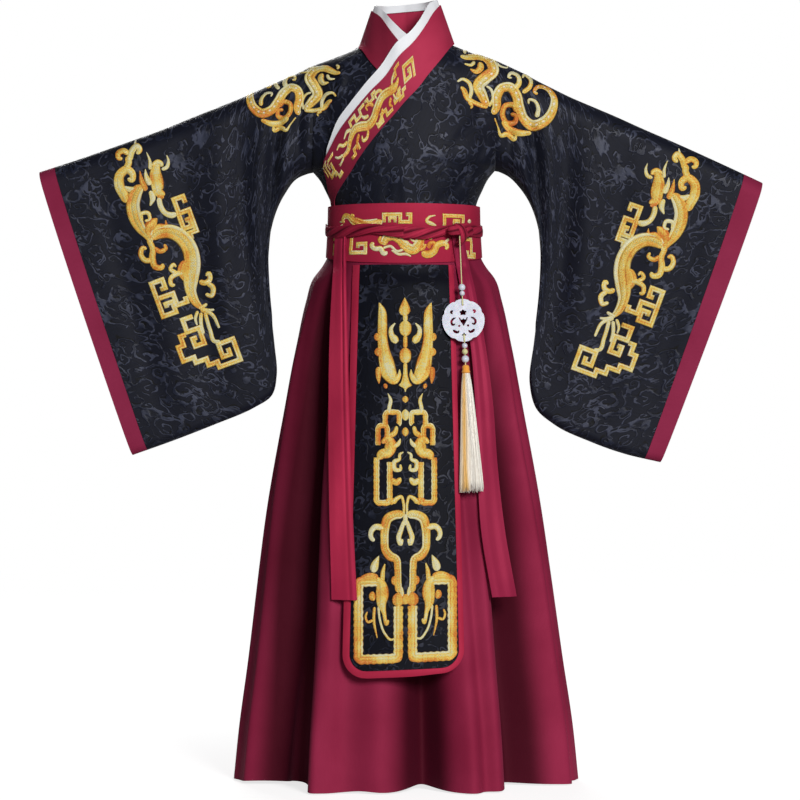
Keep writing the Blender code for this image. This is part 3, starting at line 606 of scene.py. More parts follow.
def apron_outline(t, offset):
    """U from the top left down, along the bottom and up to the top right, offset outwards."""
    rows = len(APRON_ROWS) - 1
    place = (1 - np.abs(2 * t - 1)) * (rows + BOTTOM_STEPS)
    z = apron_z(np.minimum(place / rows, 1))
    turn = corner_turn(z)
    half = apron_half(z) - APRON_CORNER * (1 - np.cos(turn)) + offset * np.cos(turn)
    half = half * (1 - np.clip((place - rows) / BOTTOM_STEPS, 0, 1))
    return np.where(t > 0.5, half, -half), z - offset * np.sin(turn)


def apron_lift(z):
    """How far the apron's face stands off the skirt's ring: close under the belt, freer below."""
    return 3.0 * MM + 2.5 * MM * ramp(-z, 0.402, 0.440)


def creases(x, z, rows):
    """Sum of soft bells across each crease's bowed line, each fading in and out along it."""
    out = np.zeros(np.broadcast(x, z).shape)
    for x0, z0, x1, z1, half_width, height, bow in rows:
        length = math.hypot(x1 - x0, z1 - z0)
        way_x, way_z = (x1 - x0) / length, (z1 - z0) / length
        t = ((x - x0) * way_x + (z - z0) * way_z) / length
        off = (x - x0) * way_z - (z - z0) * way_x + bow * 4 * t * (1 - t)
        fade = ramp(t, -0.12, 0.35) * (1 - ramp(t, 0.60, 1.15))
        out = out + height * bell(off, half_width) * fade
    return out


def in_front(points, rows, away=-1.0):
    """Points moved along Y by the creases under them: away is -1 on the front and +1 on the back."""
    moved = np.array(points)
    moved[..., 1] += away * creases(points[..., 0], points[..., 2], rows)
    return moved


def sleeve_creases(side, body_rows):
    """The sleeve's creases, mirrored for the left one, after the body's."""
    return np.vstack([body_rows, SLEEVE_CREASES * (side, 1, side, 1, 1, 1, side)])


ARM_FRONT = {side: sleeve_creases(side, FRONT_CREASES) for side in (1, -1)}
ARM_BACK = {side: sleeve_creases(side, BACK_CREASES) for side in (1, -1)}


# ---- meshes
def fill(rows, key, values, kind=np.float32):
    rows.foreach_set(key, np.ascontiguousarray(values, dtype=kind).ravel())


def new_piece(name, points, faces, look, uv=None, uv_faces=None, marks=None):
    """Mesh of quads at the origin: points (n, 3), faces (m, 4), uv read through uv_faces or faces."""
    mesh = bpy.data.meshes.new(name)
    mesh.vertices.add(len(points))
    fill(mesh.vertices, "co", points)
    mesh.loops.add(faces.size)
    fill(mesh.loops, "vertex_index", faces, np.int32)
    mesh.polygons.add(len(faces))
    fill(mesh.polygons, "loop_start", np.arange(0, faces.size, 4), np.int32)
    mesh.update(calc_edges=True)
    if uv is not None:
        read = faces if uv_faces is None else uv_faces
        fill(mesh.uv_layers.new(name="UVMap").data, "uv", uv[read.ravel()])
    for key, values in (marks or {}).items():
        fill(mesh.attributes.new(key, "FLOAT", "POINT").data, "value", values)
    mesh.shade_smooth()
    mesh.materials.append(look)
    return shown(name, mesh)


def grid_faces(rows, columns, ring=False, closed=False):
    """Quads between neighbouring rows and columns. In a ring the last column joins the first, and in a
    closed grid the last row joins the first."""
    r, c = np.meshgrid(np.arange(rows if closed else rows - 1), np.arange(columns if ring else columns - 1),
                       indexing="ij")
    below, after = (r + 1) % rows * columns, (c + 1) % columns
    corners = (r * columns + c, r * columns + after, below + after, below + c)
    return np.stack([corner.ravel() for corner in corners], axis=1)


def skin(rows, around, closed):
    """Quads of a tube of rings; an open one has quads across its first and last ring."""
    faces = grid_faces(rows, around, True, closed)
    if closed:
        return faces
    k = np.arange(around // 2 - 1)
    cap = np.stack([k, k + 1, around - 2 - k, around - 1 - k], axis=1)
    return np.concatenate([faces, cap[:, ::-1], (rows - 1) * around + cap])


def facing(points, faces, core):
    """Sum of each face's area along the way out from core, which is a point or a line along Z."""
    a, b, c, d = (points[faces[:, k]] for k in range(4))
    normal = np.cross(c - a, d - b)
    out = (a + b + c + d) / 4 - np.array((core[0], core[1], 0.0))
    out[:, 2] = 0.0 if len(core) == 2 else out[:, 2] - core[2]
    return (normal * out).sum()


def arc_map(points):
    """UV in metres: distance run along each row from its middle, and down each column from the top."""
    across = np.linalg.norm(np.diff(points, axis=1), axis=-1)
    down = np.linalg.norm(np.diff(points, axis=0), axis=-1)
    u = np.concatenate([np.zeros((len(points), 1)), np.cumsum(across, axis=1)], axis=1)
    v = np.concatenate([np.zeros((1, points.shape[1])), np.cumsum(down, axis=0)], axis=0)
    return np.stack([u - u[:, points.shape[1] // 2][:, None], -v], axis=-1)


def cloth(name, surface, columns, rows, look, core=(0.0, 0.0), ring=False, wall=CLOTH, grow=-1.0, uv=arc_map,
          painted_shade=None):
    """Cloth shell: surface(u, v) on an even grid of columns by rows, then a wall of even thickness."""
    v, u = np.meshgrid(np.linspace(0, 1, rows + 1), np.linspace(0, 1, columns + 1), indexing="ij")
    points = surface(u, v)
    spots = uv(points).reshape(-1, 2)
    spot_faces = grid_faces(rows + 1, columns + 1)
    kept = columns if ring else columns + 1
    # painted shade: the optional function gives a mark for each point, which the satin paints darker
    marks = {} if painted_shade is None else {"painted_shade": painted_shade(u, v)[:, :kept]}
    points = points[:, :kept].reshape(-1, 3)
    faces = grid_faces(rows + 1, kept, ring)
    if facing(points, faces, core) < 0:
        faces, spot_faces = faces[:, ::-1], spot_faces[:, ::-1]
    piece = new_piece(name, points, faces, look, spots, spot_faces, marks)
    sharp_rim(piece.data, rows + 1, kept, ring)
    thick = piece.modifiers.new("wall", "SOLIDIFY")
    thick.thickness = wall
    thick.offset = grow
    return piece


def sharp_rim(mesh, rows, columns, ring):
    """Edges along the first and last rows, and columns where it is no ring, are marked sharp for the cut
    edge.
    """
    ends = np.empty(len(mesh.edges) * 2, np.int32)
    mesh.edges.foreach_get("vertices", ends)
    row, column = np.divmod(ends.reshape(-1, 2), columns)
    sharp = (row[:, 0] == row[:, 1]) & np.isin(row[:, 0], (0, rows - 1))
    if not ring:
        sharp |= (column[:, 0] == column[:, 1]) & np.isin(column[:, 0], (0, columns - 1))
    fill(mesh.attributes.new("sharp_edge", "BOOLEAN", "EDGE").data, "value", sharp, bool)


def replace(piece, *nodes, slot=None):
    """Puts the piece in the nodes' place, on the root body."""
    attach(piece, "root")
    if nodes:
        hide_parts(*nodes)
    return piece


def tube(name, path, wide_way, wide, thick, look, grooves=2, depth=0.3, twist=0.0, around=36, ring=False,
         uneven=0.0):
    """Twisted cloth: ovals along the path, pinched by grooves that turn with the distance run.

    The oval at angle turn is wide along wide_way and thick across it, times 1 - depth * (1 - |sin|)^2 of
    grooves / 2 turns, less a fifth of that for finer folds."""
    way = np.roll(path, -1, axis=0) - np.roll(path, 1, axis=0) if ring else np.gradient(path, axis=0)
    way = unit(way)
    wide_way = unit(wide_way - way * (wide_way * way).sum(axis=1, keepdims=True))
    thick_way = np.cross(way, wide_way)
    run = run_along(path)[:, None]
    turn = np.linspace(0, 2 * math.pi, around, endpoint=False)
    lay = turn + twist * run + uneven * np.sin(run * 19 + 0.7)
    pinch = (1 - np.abs(np.sin(grooves * lay / 2))) ** 2
    fine = (1 - np.abs(np.sin(grooves * 1.5 * lay + 0.9 * np.sin(run * 40)))) ** 2
    reach = 1 - depth * pinch - depth * 0.28 * fine
    wide, thick = (np.broadcast_to(size, len(path))[:, None] for size in (wide, thick))
    points = (path[:, None, :] + wide_way[:, None, :] * (wide * reach * np.cos(turn))[..., None]
              + thick_way[:, None, :] * (thick * reach * np.sin(turn))[..., None])
    spots = np.stack(np.broadcast_arrays(run, turn * 0.006), axis=-1).reshape(-1, 2)
    # painted shade: the grooves of the twist are marked to be painted darker, as shade in them
    shade = np.broadcast_to(np.clip(1.5 * pinch + 0.6 * fine ** 2, 0, 1), (len(path), around))
    faces = skin(len(path), around, ring)
    return new_piece(name, points.reshape(-1, 3), faces, look, spots, marks={"painted_shade": shade})


# ---- shader building
class Wire:
    """What a node puts out; reckoning with it adds Math nodes to its tree."""

    def __init__(self, socket):
        self.socket, self.tree = socket, socket.id_data

    def __add__(self, other):
        return calc("ADD", self, other)

    def __sub__(self, other):
        return calc("SUBTRACT", self, other)

    def __rsub__(self, other):
        return calc("SUBTRACT", other, self)

    def __mul__(self, other):
        return calc("MULTIPLY", self, other)

    def __truediv__(self, other):
        return calc("DIVIDE", self, other)

    def __rtruediv__(self, other):
        return calc("DIVIDE", other, self)


def tree_of(*values):
    return next(value.tree for value in values if isinstance(value, Wire))


def wire(place, value):
    """Links a wire to an input, or sets the input's own value."""
    if isinstance(value, Wire):
        value.tree.links.new(value.socket, place)
    elif value is not None:
        place.default_value = value


def add(tree, kind, *values, out=0, named=None, **settings):
    """A node of that kind: values go to its inputs in order and named ones by name."""
    made = tree.nodes.new("ShaderNode" + kind)
    for key, value in settings.items():
        setattr(made, key, value)
    for place, value in zip(made.inputs, values):
        wire(place, value)
    for key, value in (named or {}).items():
        wire(made.inputs[key], value)
    return Wire(made.outputs[out])


def calc(operation, *values):
    return add(tree_of(*values), "Math", *values, operation=operation)


def vector_calc(operation, *values, **named):
    return add(values[0].tree, "VectorMath", *values, named=named, operation=operation)


def parts(vector, kind="SeparateXYZ"):
    return [Wire(socket) for socket in add(vector.tree, kind, vector).socket.node.outputs]


def noise(vector, scale, detail, distortion=0.0, out=0):
    named = {"Vector": vector, "Scale": scale, "Detail": detail, "Distortion": distortion}
    return add(vector.tree, "TexNoise", named=named, out=out)


def step_up(value, low, high):
    """0 below low, 1 above high, smooth between."""
    named = {"Value": value, "From Min": low, "From Max": high}
    return add(value.tree, "MapRange", named=named, interpolation_type="SMOOTHSTEP")


def blend(share, first, second):
    """Colour between first and second."""
    made = tree_of(share, first, second).nodes.new("ShaderNodeMix")
    made.data_type = "RGBA"
    for place, value in ((0, share), (6, first), (7, second)):
        wire(made.inputs[place], value)
    return Wire(made.outputs[2])


def bump(height, strength, distance, under=None):
    named = {"Strength": strength, "Distance": distance, "Height": height, "Normal": under}
    return add(height.tree, "Bump", named=named)


def new_group(name, outputs, reckon, **numbers):
    """Node group of a vector and the numbers; reckon gives what goes to its outputs."""
    tree = bpy.data.node_groups.new(name, "ShaderNodeTree")
    tree.interface.new_socket("Vector", in_out="INPUT", socket_type="NodeSocketVector")
    for key, number in numbers.items():
        made = tree.interface.new_socket(key, in_out="INPUT", socket_type="NodeSocketFloat")
        made.default_value = number
    for key in outputs:
        tree.interface.new_socket(key, in_out="OUTPUT", socket_type="NodeSocketFloat")
    given = tree.nodes.new("NodeGroupInput").outputs
    results = reckon(*(Wire(given[key]) for key in ("Vector", *numbers)))
    for place, value in zip(tree.nodes.new("NodeGroupOutput").inputs, results):
        wire(place, value)
    return tree


def use(group, vector, **numbers):
    """What the group puts out in the vector's tree, by name."""
    made = vector.tree.nodes.new("ShaderNodeGroup")
    made.node_tree = group
    for key, value in {"Vector": vector, **numbers}.items():
        wire(made.inputs[key], value)
    return {socket.name: Wire(socket) for socket in made.outputs}


def curls(vector, scale, reach, pitch, thick, seed):
    """Spiral hooks, one in each Voronoi cell: a line where turns + distance / pitch is whole, out to reach.

    Each cell's random colour sets which way its hook winds and where it starts."""
    moved = vector_calc("ADD", vector, (seed, seed * 0.7, 0.0))
    named = {"Vector": moved, "Scale": scale, "Randomness": 0.85}
    cell = add(vector.tree, "TexVoronoi", named=named, voronoi_dimensions="2D").socket.node.outputs
    x, y, _ = parts(vector_calc("SUBTRACT", moved, Wire(cell["Position"])))
    away, turns = calc("SQRT", x * x + y * y), calc("ARCTAN2", y, x) / (2 * math.pi)
    red, green, blue = parts(Wire(cell["Color"]), "SeparateColor")
    wound = turns * calc("SIGN", red - 0.5) + green + away / pitch
    line = 1 - step_up(calc("ABSOLUTE", calc("FRACT", wound) - 0.5), thick * 0.6, thick)
    return line * (1 - step_up(away / ((blue * 0.4 + 0.6) * reach), 0.86, 1.0))


def scroll_brocade(vector):
    """Tone-on-tone leaves and scrolls: spiral hooks, winding stems and leaf blots, swelling and fading.

    Gives the figure, a painted sheen on random patches of it, and a painted shadow beside it, cast by the
    figure offset a little."""
    bend = vector_calc("SUBTRACT", noise(vector, 30.0, 2.0, out=1), (0.5, 0.5, 0.5))
    wavy = vector_calc("ADD", vector, vector_calc("SCALE", bend, Scale=0.034))
    swell = step_up(noise(vector, 70.0, 1.0), 0.34, 0.48)

    def figure_at(place):
        hooks = calc("MAXIMUM", curls(place, 15.0, 0.032, 0.0150, 0.16, 0.0),
                     curls(place, 29.0, 0.016, 0.0095, 0.18, 0.37))
        stem = 1 - step_up(calc("ABSOLUTE", noise(place, 17.0, 1.0) - 0.5), 0.008, 0.022)
        leaf = step_up(noise(place, 52.0, 1.5), 0.63, 0.66)
        return calc("MAXIMUM", hooks, calc("MAXIMUM", stem, leaf)) * swell

    figure = figure_at(wavy)
    # painted shadow: the figure again, a little offset, darkens the ground beside it
    shade = figure_at(vector_calc("ADD", wavy, (0.0016, -0.0018, 0.0))) * (1 - figure)
    return figure, figure * step_up(noise(vector, 34.0, 2.0), 0.40, 0.62), shade


def plain_weave(vector, pitch):
    """Threads each way as sine ridges a pitch apart, and slubs from stretched noise."""
    x, y, _ = parts(vector)
    turns = 2 * math.pi / pitch
    long = add(vector.tree, "Mapping", vector, named={"Scale": (420.0, 34.0, 1.0)})
    return calc("SINE", x * turns) * calc("SINE", y * turns) * 0.5 + 0.5, noise(long, 1.0, 2.0)


def satin_stitch(vector, pitch):
    """A thread ridge every pitch along the stroke, a little uneven, U along it and V across, and mottling."""
    u = noise(vector, 420.0, 1.0) * 0.0005 + parts(vector)[0]
    return calc("SINE", u * (2 * math.pi / pitch)) * 0.5 + 0.5, noise(vector, 400.0, 2.0)


BROCADE = new_group("scroll_brocade", ("Figure", "Bright", "Shade"), scroll_brocade)
WEAVE = new_group("plain_weave", ("Thread", "Slub"), plain_weave, Pitch=0.0006)
STITCH = new_group("satin_stitch", ("Ridge", "Uneven"), satin_stitch, Pitch=0.0007)
UV, OBJECT = 2, 3           # outputs of Texture Coordinate


def new_material(name, **constants):
    """A Principled material; the constants are set on the shader's own sockets."""
    made = bpy.data.materials.new(name)
    made.use_nodes = True
    for key, value in constants.items():
        made.node_tree.nodes["Principled BSDF"].inputs[key.replace("_", " ")].default_value = value
    return made


def finish(made, **values):
    """Wires the values to the Principled shader and gives the material back."""
    for key, value in values.items():
        wire(made.node_tree.nodes["Principled BSDF"].inputs[key.replace("_", " ")], value)
    return made


def coords(made, kind):
    return add(made.node_tree, "TexCoord", out=kind)


def mark(made, key):
    return add(made.node_tree, "Attribute", attribute_name=key, out=2)


def colour(red, green, blue):
    """Linear colour from the three display values of a swatch, 0 to 255."""
    return tuple((value / 255.0) ** 2.2 for value in (red, green, blue)) + (1.0,)


def black_brocade(name, light):
    """Blue-black cloth with lighter scrolls, a painted sheen on patches of them and a painted shadow beside
    them; light scales all of its swatches.
    """
    made = new_material(name, Sheen_Weight=0.04 * light, Specular_IOR_Level=0.22 * light ** 2)
    ground, slub, shade, figure, painted_sheen = (colour(*(light * value for value in swatch)) for swatch in (
        (9, 11, 21), (23, 27, 43), (3, 4, 8), (38, 42, 58), (72, 76, 94)))
    spot = coords(made, UV)
    scroll, weave = use(BROCADE, spot), use(WEAVE, spot, Pitch=0.0007)
    tone = blend(scroll["Shade"], blend(weave["Slub"], ground, slub), shade)
    tone = blend(scroll["Figure"] * 0.55, tone, figure)
    fine = bump(weave["Thread"], 0.25, 0.0002)
    # painted sheen: the lightest swatch on patches of the figure
    return finish(made, Base_Color=blend(scroll["Bright"] * 0.62, tone, painted_sheen),
                  Roughness=scroll["Figure"] * -0.22 + 0.62, Normal=bump(scroll["Figure"], 0.6, 0.0012, fine))


def crimson_satin(name, light, dark, roughness):
    """Satin: a little metallic, so that it darkens away from the light; where a mark on the mesh says so,
    shade is painted in, darker still, in folds, grooves and under-laps.
    """
    made = new_material(name, Metallic=0.18, Specular_IOR_Level=0.08, Sheen_Weight=0.08,
                        Sheen_Tint=(0.80, 0.16, 0.34, 1.0))
    spot = coords(made, UV)
    weave = use(WEAVE, spot)
    tone = blend(step_up(noise(spot, 5.0, 3.0), 0.3, 0.7), colour(*light), colour(*dark))
    tone = blend(weave["Slub"] * 0.22, tone, colour(*dark))
    fine = bump(weave["Thread"], 0.3, 0.0002)
    # painted shade: the mark blends the colour towards dark crimson (48, 7, 18)
    return finish(made, Base_Color=blend(mark(made, "painted_shade") * 0.84, tone, colour(48, 7, 18)),
                  Roughness=weave["Slub"] * 0.12 + (roughness - 0.06),
                  Normal=bump(noise(spot, 38.0, 3.0), 0.12, 0.004, fine))


def white_satin():
    """White guard cloth with a fine diagonal twill, painted a little darker between its threads as shade."""
    made = new_material("white_satin", Sheen_Weight=0.3, Sheen_Roughness=0.4)
    turn = {"Rotation": (0.0, 0.0, math.radians(40.0))}
    slant = add(made.node_tree, "Mapping", coords(made, UV), named=turn)
    thread = use(WEAVE, slant, Pitch=0.0013)["Thread"]
    # painted shade: the colour follows the thread ridges, a little darker between them
    return finish(made, Base_Color=blend(thread, colour(232, 236, 243), colour(252, 253, 255)),
                  Roughness=thread * -0.15 + 0.55, Normal=bump(thread, 0.4, 0.0003))


def gold_thread():
    """Satin-stitched thread: pale to gold to amber by the tone mark, and a little paler on one side of each
    stroke and more amber on the other as painted light and shade; mottled; with painted shade between the
    stitch ridges and at a stroke's edges; with rows of scales where the scaled mark is 1 and pale spots 12.5
    mm apart as well where it is 2."""
    made = new_material("gold_thread", Metallic=0.08, Specular_IOR_Level=0.5)
    spot = coords(made, UV)
    ridge, uneven = use(STITCH, spot).values()
    tone, across, scaled = (mark(made, key) for key in ("tone", "across", "scaled"))
    # painted light and shade: one side of each stroke is a little paler and the other a little more amber
    place = across * 0.10 + tone + (uneven * 1.7 - 0.87)
    shades = add(made.node_tree, "ValToRGB", place + (noise(coords(made, OBJECT), 30.0, 1.0) * 1.24 - 0.62))
    stops = shades.socket.node.color_ramp.elements
    for position, swatch in ((0.06, (248, 246, 202)), (0.28, (255, 238, 142)), (0.50, (255, 220, 98)),
                             (0.74, (249, 180, 72)), (0.98, (228, 124, 52))):
        stops.new(position).color = colour(*swatch)
    stops.remove(stops[0])
    stops.remove(stops[-1])
    u, v, _ = parts(spot)
    v = calc("ABSOLUTE", v)
    arch = step_up(calc("FRACT", (v * 1.2 + u) / 0.0046), 0.55, 0.95) * calc("MINIMUM", scaled, 1.0)
    # painted shade between the stitch ridges and along a stroke's edges, towards brown (128, 62, 22); the
    # mottling and the rows of scales are the thread's own
    dark = ridge * -0.25 + 0.25
    for darker in (step_up(calc("ABSOLUTE", across), 0.74, 1.0) * 0.85, step_up(uneven, 0.44, 0.30) * 0.5,
                   arch * 0.55):
        dark = calc("MAXIMUM", dark, darker)
    off = calc("ABSOLUTE", calc("FRACT", u / 0.0125) - 0.5) * 0.0125 + v
    dots = step_up(off, 0.0034, 0.0012) * (scaled - 1.0)
    tone = blend(dark, shades, colour(128, 62, 22))
    return finish(made, Base_Color=blend(dots, tone, colour(252, 240, 226)), Roughness=ridge * -0.12 + 0.46,
                  Normal=bump(ridge - arch, 0.6, 0.0004))


BLACK = black_brocade("black_brocade", 1.0)
# painted shade: the apron's brocade is the same cloth with its swatches painted darker, as shade
APRON_BLACK = black_brocade("apron_brocade", 0.78)
CRIMSON, BAND, NECK, CUFF, TIE_LEFT, TIE_RIGHT = (crimson_satin(*row) for row in (
    # name,            light,         dark,          roughness
    ("crimson_satin", (153, 47, 77), (134, 37, 64), 0.64),
    ("band_satin", (184, 51, 78), (160, 38, 64), 0.6),
    # painted light: neck_satin is the band's satin painted lighter, for the light on the collar; its
    # painted-shade mark darkens it lower down
    ("neck_satin", (188, 61, 89), (166, 46, 73), 0.6),
    ("cuff_satin", (147, 50, 80), (133, 40, 68), 0.64),
    # painted light and shade: the two tie ends are one satin, the left painted lighter and the right darker,
    # to even out how the light falls on them
    ("tie_left_satin", (196, 56, 86), (176, 45, 76), 0.56),
    ("tie_right_satin", (166, 51, 80), (148, 40, 70), 0.56),
))
WHITE = white_satin()
GOLD = gold_thread()


# ---- pendant
def straw_braid():
    """Braided cord: two slanting sets of strands, as ridges round the cord's length, with painted shade
    between the strands.
    """
    made = new_material("straw_cord", Sheen_Weight=0.2)
    x, _, z = parts(coords(made, OBJECT))
    lean, back = (calc("SINE", z * (2 * math.pi / 0.0026) + x * way) for way in (1400.0, -1400.0))
    ridge = calc("MAXIMUM", lean, back) * 0.5 + 0.5
    # painted shade: the colour follows the ridges, darker in the grooves between strands
    return finish(made, Base_Color=blend(ridge, colour(176, 168, 104), colour(232, 228, 170)),
                  Roughness=ridge * -0.15 + 0.6, Normal=bump(ridge, 0.5, 0.0004))


def white_stone():
    """Imitation jade: milky white with faint cloudy green and grey veins."""
    made = new_material("white_stone", Subsurface_Weight=0.12, Subsurface_Scale=0.002, Coat_Weight=0.25)
    spot = coords(made, OBJECT)
    cloud, vein = noise(spot, 70.0, 4.0, 1.2), noise(spot, 160.0, 3.0, 2.0)
    tone = blend(step_up(cloud, 0.35, 0.68), colour(211, 213, 229), colour(227, 229, 241))
    return finish(made, Base_Color=blend(step_up(vein, 0.55, 0.75) * 0.5, tone, colour(190, 204, 194)),
                  Roughness=cloud * 0.18 + 0.16, Normal=bump(vein, 0.08, 0.0004))


def silk(name, plain, stripe, roughness):
    """Silk threads: the tone mark mixes plain and stripe; fine streaks run down the piece."""
    made = new_material(name, Sheen_Weight=0.3, Anisotropic=0.4)
    long = add(made.node_tree, "Mapping", coords(made, OBJECT), named={"Scale": (900.0, 900.0, 40.0)})
    streak = noise(long, 1.0, 2.0)
    shade = blend(mark(made, "tone"), plain, stripe)
    dark = blend(0.2, shade, colour(150, 110, 60))
    return finish(made, Base_Color=blend(step_up(streak, 0.62, 0.30), shade, dark),
                  Roughness=streak * 0.2 + roughness, Normal=bump(streak, 0.3, 0.0003))


STRAW = straw_braid()
STONE = white_stone()
ORANGE = silk("orange_silk", colour(250, 166, 54), colour(252, 190, 90), 0.45)
CREAM = silk("cream_silk", colour(255, 251, 242), colour(255, 204, 104), 0.5)
KNOT = Vector(belt_point(np.array(KNOT_THETA), np.array(0.52), KNOT_LEVEL))
FACING = Vector((0.0, -1.0, 0.0))
FACING = (FACING - PENDANT_DOWN * FACING.dot(PENDANT_DOWN)).normalized()
ACROSS_DISC = FACING.cross(PENDANT_DOWN)


def on_axis(distance):
    return DISC_PLACE + PENDANT_DOWN * distance


def straight_cord(name, start, end, count):
    line = bpy.data.curves.new(name, "CURVE")
    line.dimensions = "3D"
    line.bevel_depth = CORD_D / 2
    line.bevel_resolution = 4
    line.use_fill_caps = True
    spots = np.linspace(np.array(start), np.array(end), count)
    add_spline(line, np.hstack([spots, np.ones((count, 1))]))
    line.materials.append(STRAW)
    return shown(name, line)


def add_spline(line, rows):
    spline = line.splines.new("POLY")
    spline.points.add(len(rows) - 1)
    fill(spline.points, "co", rows)
    return spline


def turned(name, radius, height, place, axis, look, around=28, closed=False, stretch=1.0):
    """Profile (radius, height) turned round the axis through place; a closed profile is a ring's section,
    an open one is closed by quads across its first and last ring."""
    axis = np.array(axis)
    side = unit(np.cross((0.0, -1.0, 0.0), axis))
    front = np.cross(axis, side)
    turn = np.linspace(0, 2 * math.pi, around, endpoint=False)
    points = (np.array(place) + axis * height[:, None, None]
              + front * (radius[:, None] * np.sin(turn))[..., None]
              + side * ((radius * stretch)[:, None] * np.cos(turn))[..., None])
    faces = skin(len(radius), around, closed)
    return new_piece(name, points.reshape(-1, 3), faces, look, marks={"tone": np.zeros(len(radius) * around)})


# The disc's holes in millimetres from its middle: dots and a rosette as x,y,radius, outlines, and slots as
# bent strokes x,y,half_width that are there on both sides.
DISC_HOLES = strokes("""
dot 0,27.4,2
dot 7.7,-9.6,2
dot -7.7,-9.6,2
rosette 0,13.8,5.6
outline 7.6,5.2 6.4,1.2 3.6,-3.6 0,-9.8 -3.6,-3.6 -6.4,1.2 -7.6,5.2 -5.4,4.8 -4.2,1.6 -1.9,1.4 0,3.4 1.9,1.4
 4.2,1.6 5.4,4.8
outline 0,-21.6 1.3,-23.8 3.9,-25.4 3,-27.4 .9,-26.8 -.9,-26.8 -3,-27.4 -3.9,-25.4 -1.3,-23.8
slot 17,18,.9 20.6,15.4,1.9 18.8,11.6,.8
slot 13.2,5.2,1.2 18.6,2.4,1.5 21.2,-2.8,1.7 18.6,-7.4,1.7 14.4,-5.6,1.3
slot 18.8,-16.4,1.7 15,-19.6,2 11,-21,1.7 8.2,-17.6,1.1
""")
# Cusps of its edge in degrees, and their depth as a share of the radius (-: a lobe).
DISC_EDGE = table("""
angle half_width depth
68 4 .04
112 4 .04
22 5 .045
158 5 .045
-64 6 .045
-116 6 .045
90 12 -.022
-90 15 -.022
45 12 -.01
135 12 -.01
""")


def disc_loops():
    """Edge, then the pierced holes, as closed loops in metres."""
    degrees = np.arange(0, 360, 2.5)
    edge = 1.0
    for angle, half_width, depth in DISC_EDGE:
        edge = edge - depth * bell((degrees - angle + 180) % 360 - 180, half_width)
    ring = np.stack([np.cos(np.radians(degrees)), np.sin(np.radians(degrees))], axis=1)
    yield DISC_RADIUS * edge[:, None] * ring
    petals = np.radians(np.arange(0, 360, 6))
    lobes = 1 + 0.16 * np.cos(5 * (petals - math.pi / 2))
    flower = np.stack([lobes * np.cos(petals), lobes * 0.82 * np.sin(petals)], axis=1)
    for kind, *points in DISC_HOLES:
        rows = np.array(points)
        if kind == "dot":
            yield (ring[::9] * rows[0, 2] + rows[0, :2]) * MM
        elif kind == "rosette":
            yield (flower * rows[0, 2] + rows[0, :2]) * MM
        elif kind == "outline":
            middle = rows.mean(axis=0)
            yield mix(middle, rows, 1.06) * MM
        else:
            t = np.linspace(0, run_along(rows[:, :2])[-1], 14)
            middle, near, half = smooth_line(rows, t)
            near = near * ((half + 0.35) * oval(t / t[-1], 6, 0.12))[:, None]
            loop = np.vstack([middle + near, (middle - near)[::-1]])
            yield loop * MM
            yield loop[::-1] * (-MM, MM)


def make_disc():
    outline = bpy.data.curves.new("jade_disc", "CURVE")
    outline.dimensions = "2D"
    outline.fill_mode = "BOTH"
    outline.extrude = DISC_THICK / 2
    for loop in disc_loops():
        spline = add_spline(outline, np.insert(loop, [2, 2], (0.0, 1.0), axis=1))
        spline.use_cyclic_u = True
    flat = shown("flat_disc", outline)
    mesh = bpy.data.meshes.new_from_object(flat.evaluated_get(bpy.context.evaluated_depsgraph_get()))
    bpy.data.objects.remove(flat)
    hang = Matrix((ACROSS_DISC, -PENDANT_DOWN, FACING)).transposed().to_4x4()
    mesh.transform(Matrix.Translation(DISC_PLACE) @ hang)
    mesh.name = "jade_disc"
    mesh.materials.clear()
    mesh.materials.append(STONE)
    disc = shown("jade_disc", mesh)
    soft_edge = disc.modifiers.new("worn_edge", "BEVEL")
    soft_edge.width = 0.4 * MM
    soft_edge.segments = 2
    soft_edge.limit_method = "ANGLE"
    soft_edge.angle_limit = math.radians(50.0)
    return replace(disc, "pendant_disc", slot="white_jade")


# The tassel's width and depth down from its head.
TASSEL = table("""
down wide thick
0 .0056 .0052
.012 .0072 .006
.05 .0102 .0068
.11 .0138 .0074
.17 .0172 .008
.196 .0188 .0082
""")


def make_tassel(top):
    """A skein and a few hundred thin threads round it, spreading a little towards their cut ends."""
    rows = np.linspace(0.0, TASSEL[-1, 0], 24)
    stretch = smooth_interp(rows, TASSEL[:, 0], TASSEL[:, 1] / TASSEL[:, 2])
    core = turned("tassel_skein", curves(TASSEL, rows)[1] * 0.93, rows, top, PENDANT_DOWN, CREAM, 24,
                  stretch=stretch)
    rng = np.random.default_rng(8)
    count, steps = 420, 12
    angle, near = rng.uniform(0, 2 * math.pi, count), rng.uniform(0.93, 1.12, count)
    length = rng.uniform(0.199, 0.2085, count)
    run = np.linspace(0, 1, steps)[None, :] * length[:, None]
    turn = angle[:, None] + 0.10 * np.sin(run * 34 + angle[:, None] * 5) * (run / 0.2)
    spread, flat = (size * near[:, None] for size in curves(TASSEL, run))
    axis, side, front = np.array(PENDANT_DOWN), np.array(ACROSS_DISC), np.array(FACING)
    middle = (np.array(top) + axis * run[..., None] + side * (spread * np.cos(turn))[..., None]
              + front * (flat * np.sin(turn))[..., None])
    corner = np.arange(4)[:, None] * math.pi / 2
    section = side * np.cos(corner) + front * np.sin(corner)
    points = middle[:, :, None, :] + section * 0.42 * MM
    one = skin(steps, 4, False)
    faces = (one[None] + np.arange(count)[:, None, None] * steps * 4).reshape(-1, 4)
    stripe = bell(np.cos(angle) + 0.55, 0.34) * (np.sin(angle) > -0.2)
    tone = np.clip(stripe + rng.uniform(-0.12, 0.12, count), 0, 1)
    threads = new_piece("tassel_threads", points.reshape(-1, 3), faces, CREAM,
                        marks={"tone": np.repeat(tone, steps * 4)})
    replace(core, "tassel", slot="cream_tassel")
    replace(threads, slot="cream_tassel")


